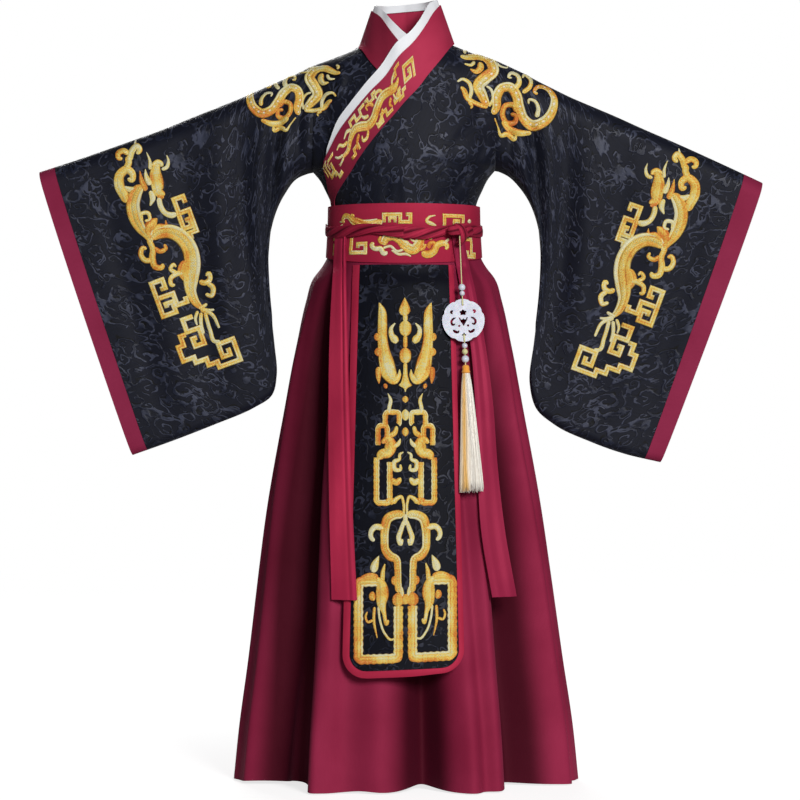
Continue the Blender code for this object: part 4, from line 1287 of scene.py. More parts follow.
def make_pendant():
    """Cord from the knot, beads, pierced disc, lower cord, wrapped cap and tassel, all on one line down."""
    edge = DISC_RADIUS * (1 + LOBE)
    top_end = on_axis(-edge - 0.4 * MM)
    start = KNOT + Vector((0.0010, -0.0112, -0.0052))
    low_start, low_end = on_axis(edge + 0.4 * MM), on_axis(edge + 0.0400)
    upper, lower = (replace(straight_cord(name, *ends), node, slot="straw_cord") for name, node, *ends in (
        # name,          node,                 from,      to,      points
        ("hanging_cord", "pendant_cord_upper", start, top_end, 17),
        ("lower_cord", "pendant_cord_lower", low_start, low_end, 9),
    ))
    run = (top_end - start).normalized()
    for name, node, place, radius, axis, look, slot in (
        # name,          node,     place,                   radius, axis, look, slot
        ("stone_bead_1", "bead_1", top_end - run * .0205, .0062, run, STONE, "white_jade"),
        ("stone_bead_2", "bead_2", top_end - run * .0095, .0047, run, STONE, "white_jade"),
        ("stone_bead_3", "bead_3", on_axis(edge + .0065), .005, PENDANT_DOWN, STONE, "white_jade"),
        ("cord_bead_4", "bead_4", on_axis(edge + .017), .0052, PENDANT_DOWN, STRAW, "straw_cord"),
        ("stone_bead_5", "bead_5", on_axis(edge + .03), .0066, PENDANT_DOWN, STONE, "white_jade"),
    ):
        hole = CORD_D / 2 + 0.25 * MM
        start_angle = math.atan2(math.sqrt(radius ** 2 - hole ** 2), hole)
        bow = np.linspace(-start_angle, start_angle, 17)
        made = turned(name, radius * np.cos(bow), radius * np.sin(bow), place, axis, look, closed=True)
        replace(made, node, slot=slot)
    make_disc()
    for name, middle, half in (
        ("loop_above", -edge + 6.2 * MM, 6.0 * MM),
        ("loop_below", edge - 6.6 * MM, 6.4 * MM),
    ):
        turn = np.linspace(0, 2 * math.pi, 28, endpoint=False)[:, None]
        path = (np.array(on_axis(middle)) + np.array(PENDANT_DOWN) * half * np.cos(turn)
                + np.array(FACING) * 3.3 * MM * np.sin(turn))
        ways = np.tile(np.array(ACROSS_DISC), (28, 1))
        loop = tube(name, path, ways, 1.5 * MM, 0.95 * MM, STRAW, 6, 0.12, 300.0, 12, ring=True)
        replace(loop, slot="straw_cord")
    height = np.linspace(0.0, 0.0148, 64)
    girth = smooth_interp(height, (0.0, 0.0014, 0.0030, 0.0090, 0.0140, 0.0148),
                          (.0022, .005, .0058, .0061, .0065, .0056))
    girth = girth * (1 + 0.05 * np.abs(np.sin(height / 0.0014 * math.pi)))
    cap = turned("thread_cap", girth, height, on_axis(edge + 0.0404), PENDANT_DOWN, ORANGE)
    cap = replace(cap, "tassel_cap", slot="orange_wrap")
    make_tassel(on_axis(edge + 0.0404 + 0.0152))
    (top_end - start).length
    tuple(low_start)
    (low_end - low_start).length


make_pendant()


# ---- bodice
def make_bodice():
    """Back and two crossed fronts on the body's sections, each moved along Y by its creases."""

    def back(u, v):
        theta = (u * 2 - 1) * math.pi / 2
        start = 0.106 * np.clip(1 - (0.158 * np.sin(theta) / 0.084) ** 2, 0, 1) ** 0.9
        down = mix(start, 1, v ** 1.35)
        points = body_point(theta, down, back=True)
        tucked = ramp(np.abs(theta), 1.53, 1.56) * ramp(down, 0.66, 0.72)
        points = points - stack(0.011 * points[..., 0], 0.003, 0.0) * tucked[..., None]
        return in_front(points, BACK_CREASES, 1.0)

    def over(u, v):
        down = v ** 1.35
        return in_front(body_point(mix(front_edge(down, 1), math.pi / 2, u), down), FRONT_CREASES)

    def under(u, v):
        down = v ** 1.35
        seam = -math.pi / 2
        theta = mix(seam, front_edge(down, -1), u)
        crossing = np.maximum(front_edge(down, 1, 1.45) - seam, 0.06)
        level = UNDER_PANEL * ramp((theta - seam) / crossing, 0.0, 1.0)
        points = body_point(theta, down, level)
        points[..., 2] -= level * (1 - rounded(down * SIDE_DROP / SHOULDER_ROUND))
        return in_front(points, FRONT_CREASES)

    for name, surface, columns, rows, node in (
        ("back_panel", back, 84, 84, "bodice_back"),
        ("over_front", over, 80, 90, "bodice_front_over"),
        ("under_front", under, 64, 84, "bodice_front_under"),
    ):
        replace(cloth(name, surface, columns, rows, BLACK), node, slot="black_jacquard")


def make_sleeves():
    """Ring round each sleeve, creased front and back, and its cuff band."""
    root = 2.5 * SEAM / 0.24
    for word, side, start in (("left", -1, CUFF_START - 0.002), ("right", 1, CUFF_START - 0.010)):
        def laid(s, turn, side=side):
            points = sleeve_point(s, turn, side)
            bulge = 0.0045 * ramp(s, 0.85, 1.0) * np.sin(math.pi * np.minimum(turn, 2 - turn))
            points[..., 0] += side * bulge
            return np.where((turn <= 1.0)[..., None], in_front(points, ARM_FRONT[side]),
                            in_front(points, ARM_BACK[side], 1.0))

        def sleeve(u, v, side=side, start=start):
            points = laid(mix(root, start - SEAM, v), u * 2)
            turned_in = 1 - ramp(v, 0.0, 0.004)
            points[..., 0] -= side * 0.005 * turned_in
            points[..., 1] *= 1 - 0.05 * turned_in
            return points

        def cuff(u, v, start=start):
            return laid(mix(start, 1, v), u * 2)

        for name, surface, rows, look, node, slot in (
            ("sleeve_cloth_", sleeve, 120, BLACK, "sleeve_", "black_jacquard"),
            ("cuff_band_", cuff, 8, CUFF, "cuff_", "crimson_cloth"),
        ):
            piece = cloth(name + word, surface, 132, rows, look, (side * 0.35, 0.0), ring=True)
            face_out(piece.data)
            replace(piece, node + word, slot=slot)


def face_out(mesh):
    """Turns a sleeve's faces out: those of its front must look towards -Y."""
    normals, middles = np.empty((2, len(mesh.polygons) * 3), np.float32)
    mesh.polygons.foreach_get("normal", normals)
    mesh.polygons.foreach_get("center", middles)
    if normals[1::3][middles[1::3] < 0].sum() > 0:
        mesh.flip_normals()


# ---- collar
def laid_over(t, across):
    """Share across the over-lap, which lies up to a sixth of its width lower down from neck to chest."""
    return across - (0.10 + 0.06 * across) * ramp(t, 3.5, 6.0) * (1 - ramp(t, 12.0, 14.2))


def make_collar():
    """The crossed band and the white guard: strips along the collar's stations."""
    def strip(u, across, over_level, under_level):
        t = np.abs(u - 0.5) * 2 * LAST
        level = mix(over_level, under_level, ramp(u, 0.42, 0.55))
        over = collar_point(t, laid_over(t, across), 1, level)
        return np.where((u < 0.5)[..., None], over, collar_point(t, across, -1, level))

    def behind(u):
        return 1 - ramp(np.abs(u - 0.53) * LAST * 2, 3.0, 5.5)

    def band(u, v):
        return strip(u, v * (1 + 0.006 * behind(u) / BAND_WIDTH), BAND_LEVEL, UNDER_BAND)

    def guard(u, v):
        place = 0.5 + (GUARD_END + 0.8) / LAST * (u - 0.5)
        low = -GUARD_UNDER + (GUARD_UNDER + 0.004) * behind(place)
        high = GUARD_WIDTH * (1 + 0.25 * bell((0.5 - place) * 2 * LAST - 7.6, 1))
        return strip(place, 1 + mix(low, high, v) / BAND_WIDTH, -CLOTH, UNDER_GUARD)

    def swapped(points):
        return arc_map(points)[..., ::-1]

    # painted shade: the under-lap and the band's lower run down the chest are painted darker; near the neck
    # it is left light
    def shaded(u, v):
        return 0.6 * ramp(u, 0.50, 0.66) + 0.5 * (1 - ramp(u, 0.14, 0.36)) + 0 * v

    band_piece = cloth("neck_band", band, 240, 14, NECK, grow=1.0, uv=swapped, painted_shade=shaded)
    guard_piece = cloth("white_guard_strip", guard, 208, 5, WHITE, grow=1.0, uv=swapped)
    replace(band_piece, "collar_band", slot="crimson_cloth")
    replace(guard_piece, "collar_guard", slot="white_guard")


# ---- skirt
def make_skirt():
    """Rings down the skirt: the solid's folds plus narrow pleats, out along each ring's own direction.

    At the side seams the front's edges turn in and lie 4 mm behind the back's."""

    def place(u, v, first, last):
        angle = mix(first, last, u)
        waist, hem = SKIRT_ENDS
        for middle, half_width, lift in HEM_LIFTS:
            hem = hem + lift * bell(angle - middle, half_width)
        return angle, mix(waist, hem, v ** 1.25)

    for name, first, last, columns, node in (
        ("skirt_front_cloth", -91.5, 91.5, 240, "skirt_front"),
        ("skirt_back_cloth", 90, 270, 200, "skirt_back"),
    ):
        def surface(u, v, first=first, last=last):
            angle, z = place(u, v, first, last)
            turned_in = 0.004 * ramp(np.abs(angle) * (first < 0), 89.2, 90.6)
            return skirt_point(angle, z, folds(PLEATS, angle, z) - turned_in)

        # painted shade: darker inside the inward folds and pleats and along the wide shaded folds, less so on
        # the back
        def painted_shade(u, v, first=first, last=last):
            angle, z = place(u, v, first, last)
            share = 1 - 0.6 * ramp(np.abs(angle), 90.0, 110.0)
            dark = share * ramp(-folds(FOLDS, angle, z) - folds(PLEATS, angle, z), -0.002, 0.040)
            for waist, hem, half_width, full, end in PAINTED_FOLD_SHADE:
                away = (angle - mix(waist, hem, v)) / half_width
                dark = dark + full * np.exp(-away ** 4) * (1 - ramp(-z, -end - 0.35, -end))
            return np.clip(dark, 0, 1)

        replace(cloth(name, surface, columns, 110, CRIMSON, painted_shade=painted_shade), node, slot="crimson_cloth")


make_bodice()
make_sleeves()
make_collar()
make_skirt()


# ---- belt, tie and ribbons
# Creases of the belt: distance round it from the front and height below its top edge, as for the robe's.
BELT_CREASES = table("""
x0 z0 x1 z1 half_width out bow
-.13 -.02 .02 -.014 .005 .001 .002
.01 -.034 .09 -.028 .004 .0013 -.002
-.11 -.046 -.02 -.04 .005 -.0011 .001
.06 -.052 .15 -.03 .005 -.0012 .003
-.03 -.082 .07 -.086 .005 .0011 .002
-.14 -.062 -.08 -.092 .005 .0012 .001
.12 -.06 .16 -.09 .005 .0012 .001
-.42 -.03 -.3 -.036 .005 .0012 .002
.3 -.024 .43 -.03 .005 -.0012 .002
""")
BELT_TURN = np.linspace(-math.pi, math.pi, 721)
# Distance round the belt from the middle of its front, for each angle of BELT_TURN.
BELT_ARC = run_along(belt_point(BELT_TURN, 0.5, BELT_WALL)[:, :2])
BELT_ARC = BELT_ARC - BELT_ARC[360]


def belt_height(arc):
    """Angle at that distance round the belt, and the height of the belt there."""
    theta = np.interp(arc, BELT_ARC, BELT_TURN)
    return theta, BELT_TOP - BELT_BOTTOM + BELT_DROOP * (1 + np.cos(theta)) / 2


def belt_face(arc, drop, level=0.0):
    """Belt surface read by the distance round it from the front and the drop below its top edge."""
    theta, height = belt_height(arc)
    return belt_point(theta, drop / height, level + creases(arc, -drop, BELT_CREASES))


def make_belt():
    """Belt band; its visible face carries low horizontal creases."""
    def band(u, v):
        arc = mix(BELT_ARC[0], BELT_ARC[-1], u)
        return belt_face(arc, v * belt_height(arc)[1])

    piece = cloth("belt_band", band, 230, 24, BAND, wall=BELT_WALL, grow=1.0, ring=True)
    replace(piece, "belt", slot="crimson_cloth")


def make_tie():
    """The twisted wrap round the belt, and its knot of three folded loops."""
    theta = np.linspace(0, 2 * math.pi, 480, endpoint=False)
    depth = mix(*WRAP_DEPTH, np.cos(theta) ** 2)
    middle = belt_point(theta, WRAP_DOWN + 0.035 * np.sin(theta * 5 + 0.6) * np.cos(theta / 2) ** 2,
                        BELT_WALL + LAYER + depth)
    high = np.array((0.0, 0.0, 1.0))
    height = WRAP_HEIGHT * (1.02 + 0.10 * np.sin(theta * 7 + 1.0))
    twist = 2 * math.pi * 5 / (BELT_ARC[-1] - BELT_ARC[0])
    wrap = tube("twisted_tie", middle, np.tile(high, (len(theta), 1)), height, depth, BAND, 3, 0.55, twist,
                60, ring=True, uneven=0.55)
    replace(wrap, "sash_wrap", slot="crimson_tie")
    out = np.array((math.sin(KNOT_THETA), -math.cos(KNOT_THETA), 0.0))
    side = np.array((math.cos(KNOT_THETA), math.sin(KNOT_THETA), 0.0))
    for name, spots, wide_way, wide, thick, depth in (
        ("tie_knot", ((-1.35, -.55, .3), (-1, .1, .32), (-.4, .55, .34), (.2, .62, .22),
                      (.75, .25, 0), (1.05, -.45, -.35)), high, .0088, .0055, .32),
        ("knot_loop", ((-.15, -1, .85), (-.25, .1, .95), (-.05, .85, .55), (.1, 1, -.1),
                       (.15, .75, -.7), (.1, .05, -1.1), (0, -.7, -1.15)), side, .0082, .0045, .3),
        ("knot_tuck", ((.35, -.6, -.15), (.8, 0, .05), (1.25, 0, .25), (1.8, -.35, .35),
                       (2.3, -.85, .3)), high, .0085, .0042, .3),
    ):
        rows = np.array(spots) * KNOT_SIZE
        t = np.linspace(0, len(rows) - 1, 40)
        path = np.array(KNOT) + along(rows, t) @ np.stack([side, out, high])
        ends = oval(t / (len(rows) - 1), 6, 0.05)
        ways = np.tile(wide_way, (len(path), 1))
        made = tube(name, path, ways, wide * ends, thick * ends, BAND, 3, depth, 30.0)
        replace(made, slot="crimson_tie")
    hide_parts("sash_knot")


# Lengthwise folds of a ribbon: place across it (-1 to 1), half width, how far out at the top and bottom.
RIBBON_FOLDS = {
    "left": ((.68, .12, .003, .001), (.46, .12, -.0026, -.0008), (-.5, .3, -.0008, .0004)),
    "right": ((-.45, .18, .0026, .0008), (.05, .22, -.0024, -.0008), (.6, .22, .002, .0012)),
}


def make_ribbons():
    """Free ends of the tie: strips with lengthwise folds that flatten towards their cut ends."""
    for word, look in (("left", TIE_LEFT), ("right", TIE_RIGHT)):
        def strip(u, v, word=word):
            across = u * 2 - 1
            points = ribbon_point(RIBBONS[word], across, v * 1.028 - 0.028)
            for middle, half_width, top, low in RIBBON_FOLDS[word]:
                points[..., 1] -= bell(across - middle, half_width) * mix(top, low, ramp(v, 0.0, 0.7))
            points[..., 1] -= 0.0016 * np.sin(v * 13.0 + 2 * across) * ramp(v, 0.25, 0.6)
            return points

        piece = cloth("tie_end_" + word, strip, 22, 130, look, core=(0.0, 0.5), grow=1.0)
        replace(piece, "ribbon_" + word, slot="crimson_tie")


# ---- apron
APRON_CREASES = table("""
x0 z0 x1 z1 half_width out bow
-.07 -.47 .075 -.52 .016 .0014 .004
.07 -.6 -.06 -.69 .02 -.0014 .006
-.08 -.76 .085 -.8 .022 .0016 .004
.085 -.9 -.085 -.96 .024 -.0016 .006
-.06 -1.03 .08 -1.06 .02 .0014 .004
""")


def apron_face(x, z):
    """Outer face of the apron under (x, z), its low creases added; its bottom hangs higher to +X."""
    tilted = z + 0.045 * x * ramp(-z, 0.75, 1.10)
    return in_front(over_skirt(x, tilted, apron_lift(z), APRON_SWING), APRON_CREASES)


def make_apron():
    """Apron panel and the band bound round its two sides and bottom."""
    def panel(u, v):
        z = apron_z(v)
        half = apron_half(z) - APRON_CORNER * (1 - np.cos(corner_turn(z)))
        return apron_face((u * 2 - 1) * half, z)

    def border(u, v):
        x, z = apron_outline(u, SEAM + (BORDER - SEAM) * v * (1 - 0.25 * ramp(u, 0.5, 0.6)))
        points = apron_face(x, z)
        points[..., 1] -= 0.8 * MM * np.sin(math.pi * v)
        return points

    rows = len(APRON_ROWS) - 1
    for name, surface, columns, lines, look, node, slot in (
        ("apron_cloth", panel, 60, rows * 6, APRON_BLACK, "apron_panel", "black_jacquard"),
        ("apron_binding", border, 12 * (rows + BOTTOM_STEPS), 5, BAND, "apron_border", "crimson_cloth"),
    ):
        replace(cloth(name, surface, columns, lines, look, (0.0, 0.5), wall=APRON_WALL), node, slot=slot)


make_belt()
make_tie()
make_ribbons()
make_apron()


# ---- embroidery
# Figures in centimetres on the cloth. Kinds: g gold, p pale, o amber, d dark, B a banded body, f a fret and
# F a broad fret: its first point, then its moves up, down, left and right.
SLEEVE_DRAGON = strokes("""
g -8.4,15.8,.45 -7.9,17.7,.5 -7.1,18.6,.45 -6.5,17.8,.4 -7.1,17.1,.35
g -8.5,17.05,.4 -9.5,17.7,.45 -10.4,17.2,.45 -10.2,16.3,.35 -9.6,16.3,.25
p -7.4,18.3,.3 -7.45,19,.2 -7.4,19.7,.05
g -8.7,16.7,.5 -8.5,15.5,.5 -9.1,14.3,.5
g -8.7,12.7,.3 -7.9,12.4,.4 -7.8,13.5,.5 -8.8,14.3,.6 -10.1,13.3,.7 -10.2,11.5,.75 -9.3,9.6,.7
 -9,8.4,.45
p -9.3,11.2,.2 -8.1,10.7,.45 -6.8,11.2,.1
o -5.4,10.5,.5 -6.2,12.4,.35 -6.5,14.1,.05
p -4.65,11.5,.5 -5.4,13.3,.3 -5.5,14.4,.05
B -6.2,11.5,.6 -7.3,9.9,.95 -7.75,8.1,1 -7.4,5.9,1 -6.5,4,.8 -5.3,2.5,.5 -4.3,1.2,.3
g -3.4,15.5,.35 -3.7,13.6,.85 -3.4,11.8,.95 -3.1,10.2,.7 -2,9.8,.4
o -4.1,14.6,.15 -4.3,12.9,.3 -3.9,11.2,.2
g -4.3,15,.3 -3.25,15.5,.5 -2.3,15,.35
p -4.65,14.3,.3 -4.7,15.8,.22 -5.3,17.4,.05
p -2.6,14.3,.25 -1.7,14.7,.3 -1.4,15.8,.22 -1.7,16.9,.05
d -3.6,12.85,.16 -3.4,12.7,.2 -3.2,12.6,.1
p -4.65,10.5,.3 -4.2,9.3,.45 -4.65,7.8,.1
o -3.4,9.8,.5 -2.2,9.3,.35
p -3.1,9.3,.4 -2.8,7.75,.4 -1.9,6.5,.4 -.6,6.2,.45 0,6.5,.35
o -4.65,1.9,.3 -5,3.7,.7 -4,5,.6 -3.4,5.6,.1
o -4.3,2.8,.4 -3.1,4,.5 -1.9,4.3,.3 -1.9,5.3,.05
p -6.2,5,.3 -6.2,6.4,.3 -5,6.5,.3 -4.8,5.3,.25 -5.6,5.1,.2
B -4.5,1.9,.5 -3.4,2.9,.9 -1.55,3.3,1 .6,2.5,1.1 2.3,.3,1.15 2.8,-2.2,1.2 2.5,-5,1.15 2.5,-7.4,.8
 3.3,-9.3,.6 4.3,-10.4,.35
g -5,1.9,.4 -4.2,0,.45 -4.3,-1.55,.5 -3.7,-3.1,.45 -2.6,-3.1,.4 -2.4,-2.5,.3
g -4.3,-1.9,.4 -5.6,-1.9,.4 -6.4,-.8,.4 -6,.3,.35 -5.3,.15,.25
o -4,.3,.35 -2.9,-.3,.35 -1.9,.3,.3 -2.2,1,.2
o 1.55,-1.9,.5 1.1,-3.7,.8 1.9,-5.6,.5
g 1.4,-4,.5 0,-4.3,.4 -1.1,-5.3,.35 -.8,-6.35,.3 -.3,-6.2,.2
g 0,-4.2,.35 -1.1,-3.4,.3 -.5,-2.6,.25 -.1,-3.1,.15
g 4,-5.6,.4 5,-5.9,.4 5.9,-5.3,.4 5.7,-4.2,.35 5.2,-4.65,.25
g 5.4,-5.9,.35 6.5,-6.8,.4 6.2,-8.2,.35 5.1,-7.9,.25
p 3.9,-10.5,.3 4.7,-10.1,.28 5.4,-9.6,.2
p 4.2,-10.5,.3 5.5,-10.8,.26 6.7,-10.7,.15
p 4.2,-10.7,.3 6.2,-11.5,.28 7.6,-14,.2
p 5,-11.2,.3 5.9,-14.3,.3 6.8,-16.4,.3 7.7,-16.3,.2
p 4.3,-11.2,.28 4.3,-13.3,.28 4.8,-15,.18
p 3.7,-10.9,.25 3.3,-12.4,.22 3.6,-13.5,.12
f 1.55,8.4,.38 U1.2 L1.7 D2.6 R1.9 D3.9 L1.3 D1.2
f .3,6.5,.38 D2.9 R1.5 U1.3 L.8
f -2.9,-7.1,.38 R.9 U1.5 L2.1 D6.2 R2.4 U1.9 L1.2 D.7
f -3.4,-8.8,.38 R2.9 D2.2 R1.8 U1
f 2.8,-11.9,.38 L1.9 D2.3 R2.2 D2.9 L1.7 U1.4 R.8
f 1.55,-15.2,.38 L1.0 D1.7 L1.0 D2.6 R2.0 D1.0 R2.0 D1.2 R1.7 D1.0 R4.0 U3.9 L2.8 D2.4 R1.4 U1.2
""")
SHOULDER_DRAGON = strokes("""
p -7.4,7.6,.2 -7.5,8.2,.25 -6.9,8.4,.2
B -4.4,7.1,.4 -2.9,6.2,.75 -2.4,4.6,.85 -3.9,3,.9 -5.1,1.6,.85 -4.4,-.2,.75 -3.45,-2.1,.45
g -8.3,7,.25 -7.4,6.8,.4 -6.2,7,.55 -4.8,7.2,.6 -3.7,6.7,.55
p -7.6,5.5,.12 -6.4,5.3,.25 -5.75,6,.3
g -6.6,4.5,.1 -5.5,4.1,.4 -4.7,4.9,.5 -4.8,6,.4
d -5.2,7.25,.12 -5,7.2,.15 -4.8,7.1,.08
p -3.45,6.9,.2 -2.1,6.2,.18 -.7,5.3,.15 .2,5.3,.12 .25,5.75,.1
p -3.9,7.4,.15 -2.1,6.9,.12 -.8,6.3,.08
g -3.45,-2.2,.35 -5.5,-1.7,.35 -7.2,-.7,.4 -7.8,.7,.35 -8.3,1.2,.2
p -6.9,-1.2,.3 -6.4,.7,.3 -6.9,2.1,.3 -8.05,2.6,.22 -8.9,2.1,.15
g -6.9,-1.4,.25 -6.3,-2.3,.2 -6.55,-2.65,.1
p -3.2,-2.1,.2 -2.5,-.5,.22 -3,1.15,.2 -3.7,1.6,.15
B -2.6,-3.45,.4 -1.95,-2.3,.6 -1.8,-.2,.7 -.9,1.3,.7 .5,1.5,.7 1.6,.2,.75 2.2,-2.1,.75 3,-4.1,.75
 4.6,-5.3,.8 6.7,-4.6,.75 8.2,-2.5,.65 8.4,-.2,.5 7.1,1.5,.35 5.5,1.6,.3 4.9,.7,.25 5.5,.2,.2
p 1.4,1.15,.45 2.2,2.3,.4 1.95,3.7,.3 .7,4.1,.25 .35,3.3,.2 .9,3.2,.12
p 2.8,.5,.35 4.1,1.6,.35 4.3,3,.3 3.2,3.9,.22 2.8,3.3,.15
p 5.3,-3.9,.4 5.6,-2.3,.3 4.8,-.9,.22 3.9,-.8,.2 3.9,-1.5,.12
o 1.7,-3,.35 1.15,-1.8,.4 -.2,-1.8,.4 -.8,-3.45,.4 0,-4.9,.4 1.4,-4.8,.4 1.6,-3.7,.3 .7,-3.3,.3
g -.7,-4.4,.5 .2,-5.75,.5 2.1,-6.7,.5 4.4,-6.6,.3
g -2.2,-4.1,.12 -1.6,-5.75,.12 -1,-7.2,.3 0,-6.9,.4 1.4,-7.8,.3 1.6,-7.1,.2
""")
# Middle pieces of the apron's figure, and its left half, which is mirrored.
APRON_MIDDLE = strokes("""
g -.1,8.3,.05 -.1,6.7,.8 -.1,5.5,1.05 0,5,.95
g 0,5.3,.42 0,3.95,.42
g 0,4.15,.9 0,3.6,1 0,1.9,1 0,1.3,.9
g 0,1.4,.38 0,-.8,.38
g 0,-.75,.85 0,-1.3,.95 0,-3,.95 0,-3.6,.85
g 0,-3.5,.35 0,-5.5,.42 0,-7,.8 0,-7.6,1.1 0,-7.9,.5 0,-8.7,.05
o 0,6.9,.2 0,5.7,.45 0,5.2,.4
o 0,3.6,.4 0,2.7,.5 0,1.8,.4
o 0,-1.4,.4 0,-2.2,.45 0,-3,.4
o 0,-9.4,.3 0,-10,.55 0,-10.6,.3
g 0,-11.8,.35 0,-12.8,.75 0,-13.8,.35
o 0,-15,.3 0,-15.8,.6 0,-16.6,.3
o 0,-44.5,.9 0,-45.4,1.3 0,-46.3,.9
p 0,-30.4,.3 0,-31.4,.42 0,-32.4,.2
""")
APRON_LEFT = strokes("""
g -4.8,7.4,.1 -4.3,5.9,.65 -4.2,3.7,.8 -4.2,1,.85 -3.95,-1.2,1 -3.45,-3.5,1.3 -2.95,-5.4,1.3
 -1.95,-6.5,.8 -1.15,-5.7,.4 -1.05,-4.6,.05
p -3.9,5.6,.15 -3.75,3.7,.22 -3.7,1,.25 -3.3,-1.2,.28 -2.7,-3.4,.3 -2,-4.6,.2
o -4.6,4.6,.15 -4.65,2,.22 -4.6,-.6,.25 -4.4,-3,.3 -3.9,-5,.3 -2.9,-6.2,.2
o -5.2,1.9,.2 -5.3,1.2,.45 -5.1,.5,.2
o -4.9,-.7,.3 -4.95,-1.5,.7 -4.8,-2.3,.3
o -4.9,-4.2,.55 -4.9,-6.2,.4 -4.8,-7.2,.1
p -1.85,3.7,.1 -2.6,2.7,.35 -2.5,1.5,.5 -1.85,.5,.65 -1.75,0,.4
o -2.1,1.1,.1 -1.95,.6,.28 -1.85,.2,.15
o -3.8,-7.2,.3 -3.6,-7.7,.35 -3.5,-8.1,.2
p -3.2,-8.9,.05 -2.7,-10.1,.3 -2.95,-11.6,.35 -2.95,-12.6,.3
g -4.3,-17.8,.4 -3.2,-17,.6 -2.7,-18,1 -3.2,-19.5,.9 -4.3,-19.8,.8 -4.9,-20.7,.6
o -3.6,-18.3,.2 -3.1,-18.9,.35 -3.9,-19.9,.25
d -3,-18,.15 -2.8,-18.1,.18 -2.6,-18.2,.1
g -2.85,-16.5,.5 -1.95,-16,.45 -1.55,-14.8,.3
p -2.1,-18.5,.4 -1.2,-17.8,.35 -.9,-17,.1
p -.35,-19.4,.1 -1,-19.8,.25 -1.1,-20.7,.3 -1.95,-21.1,.4 -1.85,-22.5,.4 -.9,-22.5,.3 -.9,-21.6,.2
g -2.6,-24.2,.4 -1.6,-24.8,.55 -.8,-24,.35
o -3.6,-28.4,.3 -2.8,-27.8,.5 -2.3,-28.7,.5
g -2.3,-28.5,.5 -1.6,-27.7,.38 -.75,-27.3,.28 -.35,-28.4,.24 -.3,-30.6,.22
B -.3,-30.5,.7 -1.8,-30.5,.75 -3.2,-31.2,.8 -3.7,-32.9,.75 -3.8,-34.8,.7 -3.6,-36.7,.7 -2.75,-37.8,.75
 -1.7,-38.3,.65 -1.4,-40,.6 -1.35,-42.3,.6 -1.2,-44.2,.6
p -.2,-31.5,.3 -.85,-33.4,.42 -1.2,-34.5,.45 -.85,-35.7,.35 -.5,-34.8,.2
p -3.9,-32.8,.55 -5.6,-32.7,.5 -6.2,-33.4,.45 -6.2,-34.5,.4 -5.6,-35.1,.3
o -1.3,-44.2,.5 -1.3,-45,.95 -1.3,-46,.95 -1.3,-46.7,.6
p -.75,-43.2,.2 -.6,-44.4,.35 -.5,-45.2,.2
o -2,-41.3,.3 -2.05,-42.1,.5 -1.9,-42.9,.3
o -4.9,-41.5,.4 -6.2,-41.2,.55 -7.5,-41.5,.5 -8.6,-42.3,.4
g -5.35,-41.6,.6 -4.4,-42.8,.9 -4.2,-44.4,1.1 -4.3,-46.1,.8 -3.9,-47.5,.4 -3.35,-49.6,.3 -3.1,-48.9,.25
o -4.3,-43.4,.2 -4.1,-44.6,.35 -4.3,-45.8,.2
p -5.8,-40.6,.6 -5.6,-39.5,.7 -5.1,-38.3,.35 -4.8,-37.7,.05
g -4.2,-42.3,.4 -4.05,-40.4,.35 -3.7,-39.1,.1
o -5.9,-43.9,.3 -6,-44.7,.6 -5.7,-45.5,.4
p -4.9,-46.6,.2 -4.6,-48.9,.2 -3.7,-51.3,.2 -2.6,-52.4,.2 -1.8,-52.2,.15
o -5.6,-46.6,.25 -5.7,-48.9,.25 -5.1,-52,.1
o -5.9,-48.9,.25 -6.8,-49.2,.22 -7.2,-48.2,.2 -6.9,-47.4,.15
F -1.2,-14.6,.46 R.1 U2.3 L2.6 D2.6
F -3.3,-16.9,.46 U2.2 L1.7 D3.6
F -2.85,-21.2,.5 D7.2 L2.4 U8.2
F -1.3,-46.6,.8 D9.1 L7.2 U13.5 R3.4
""")
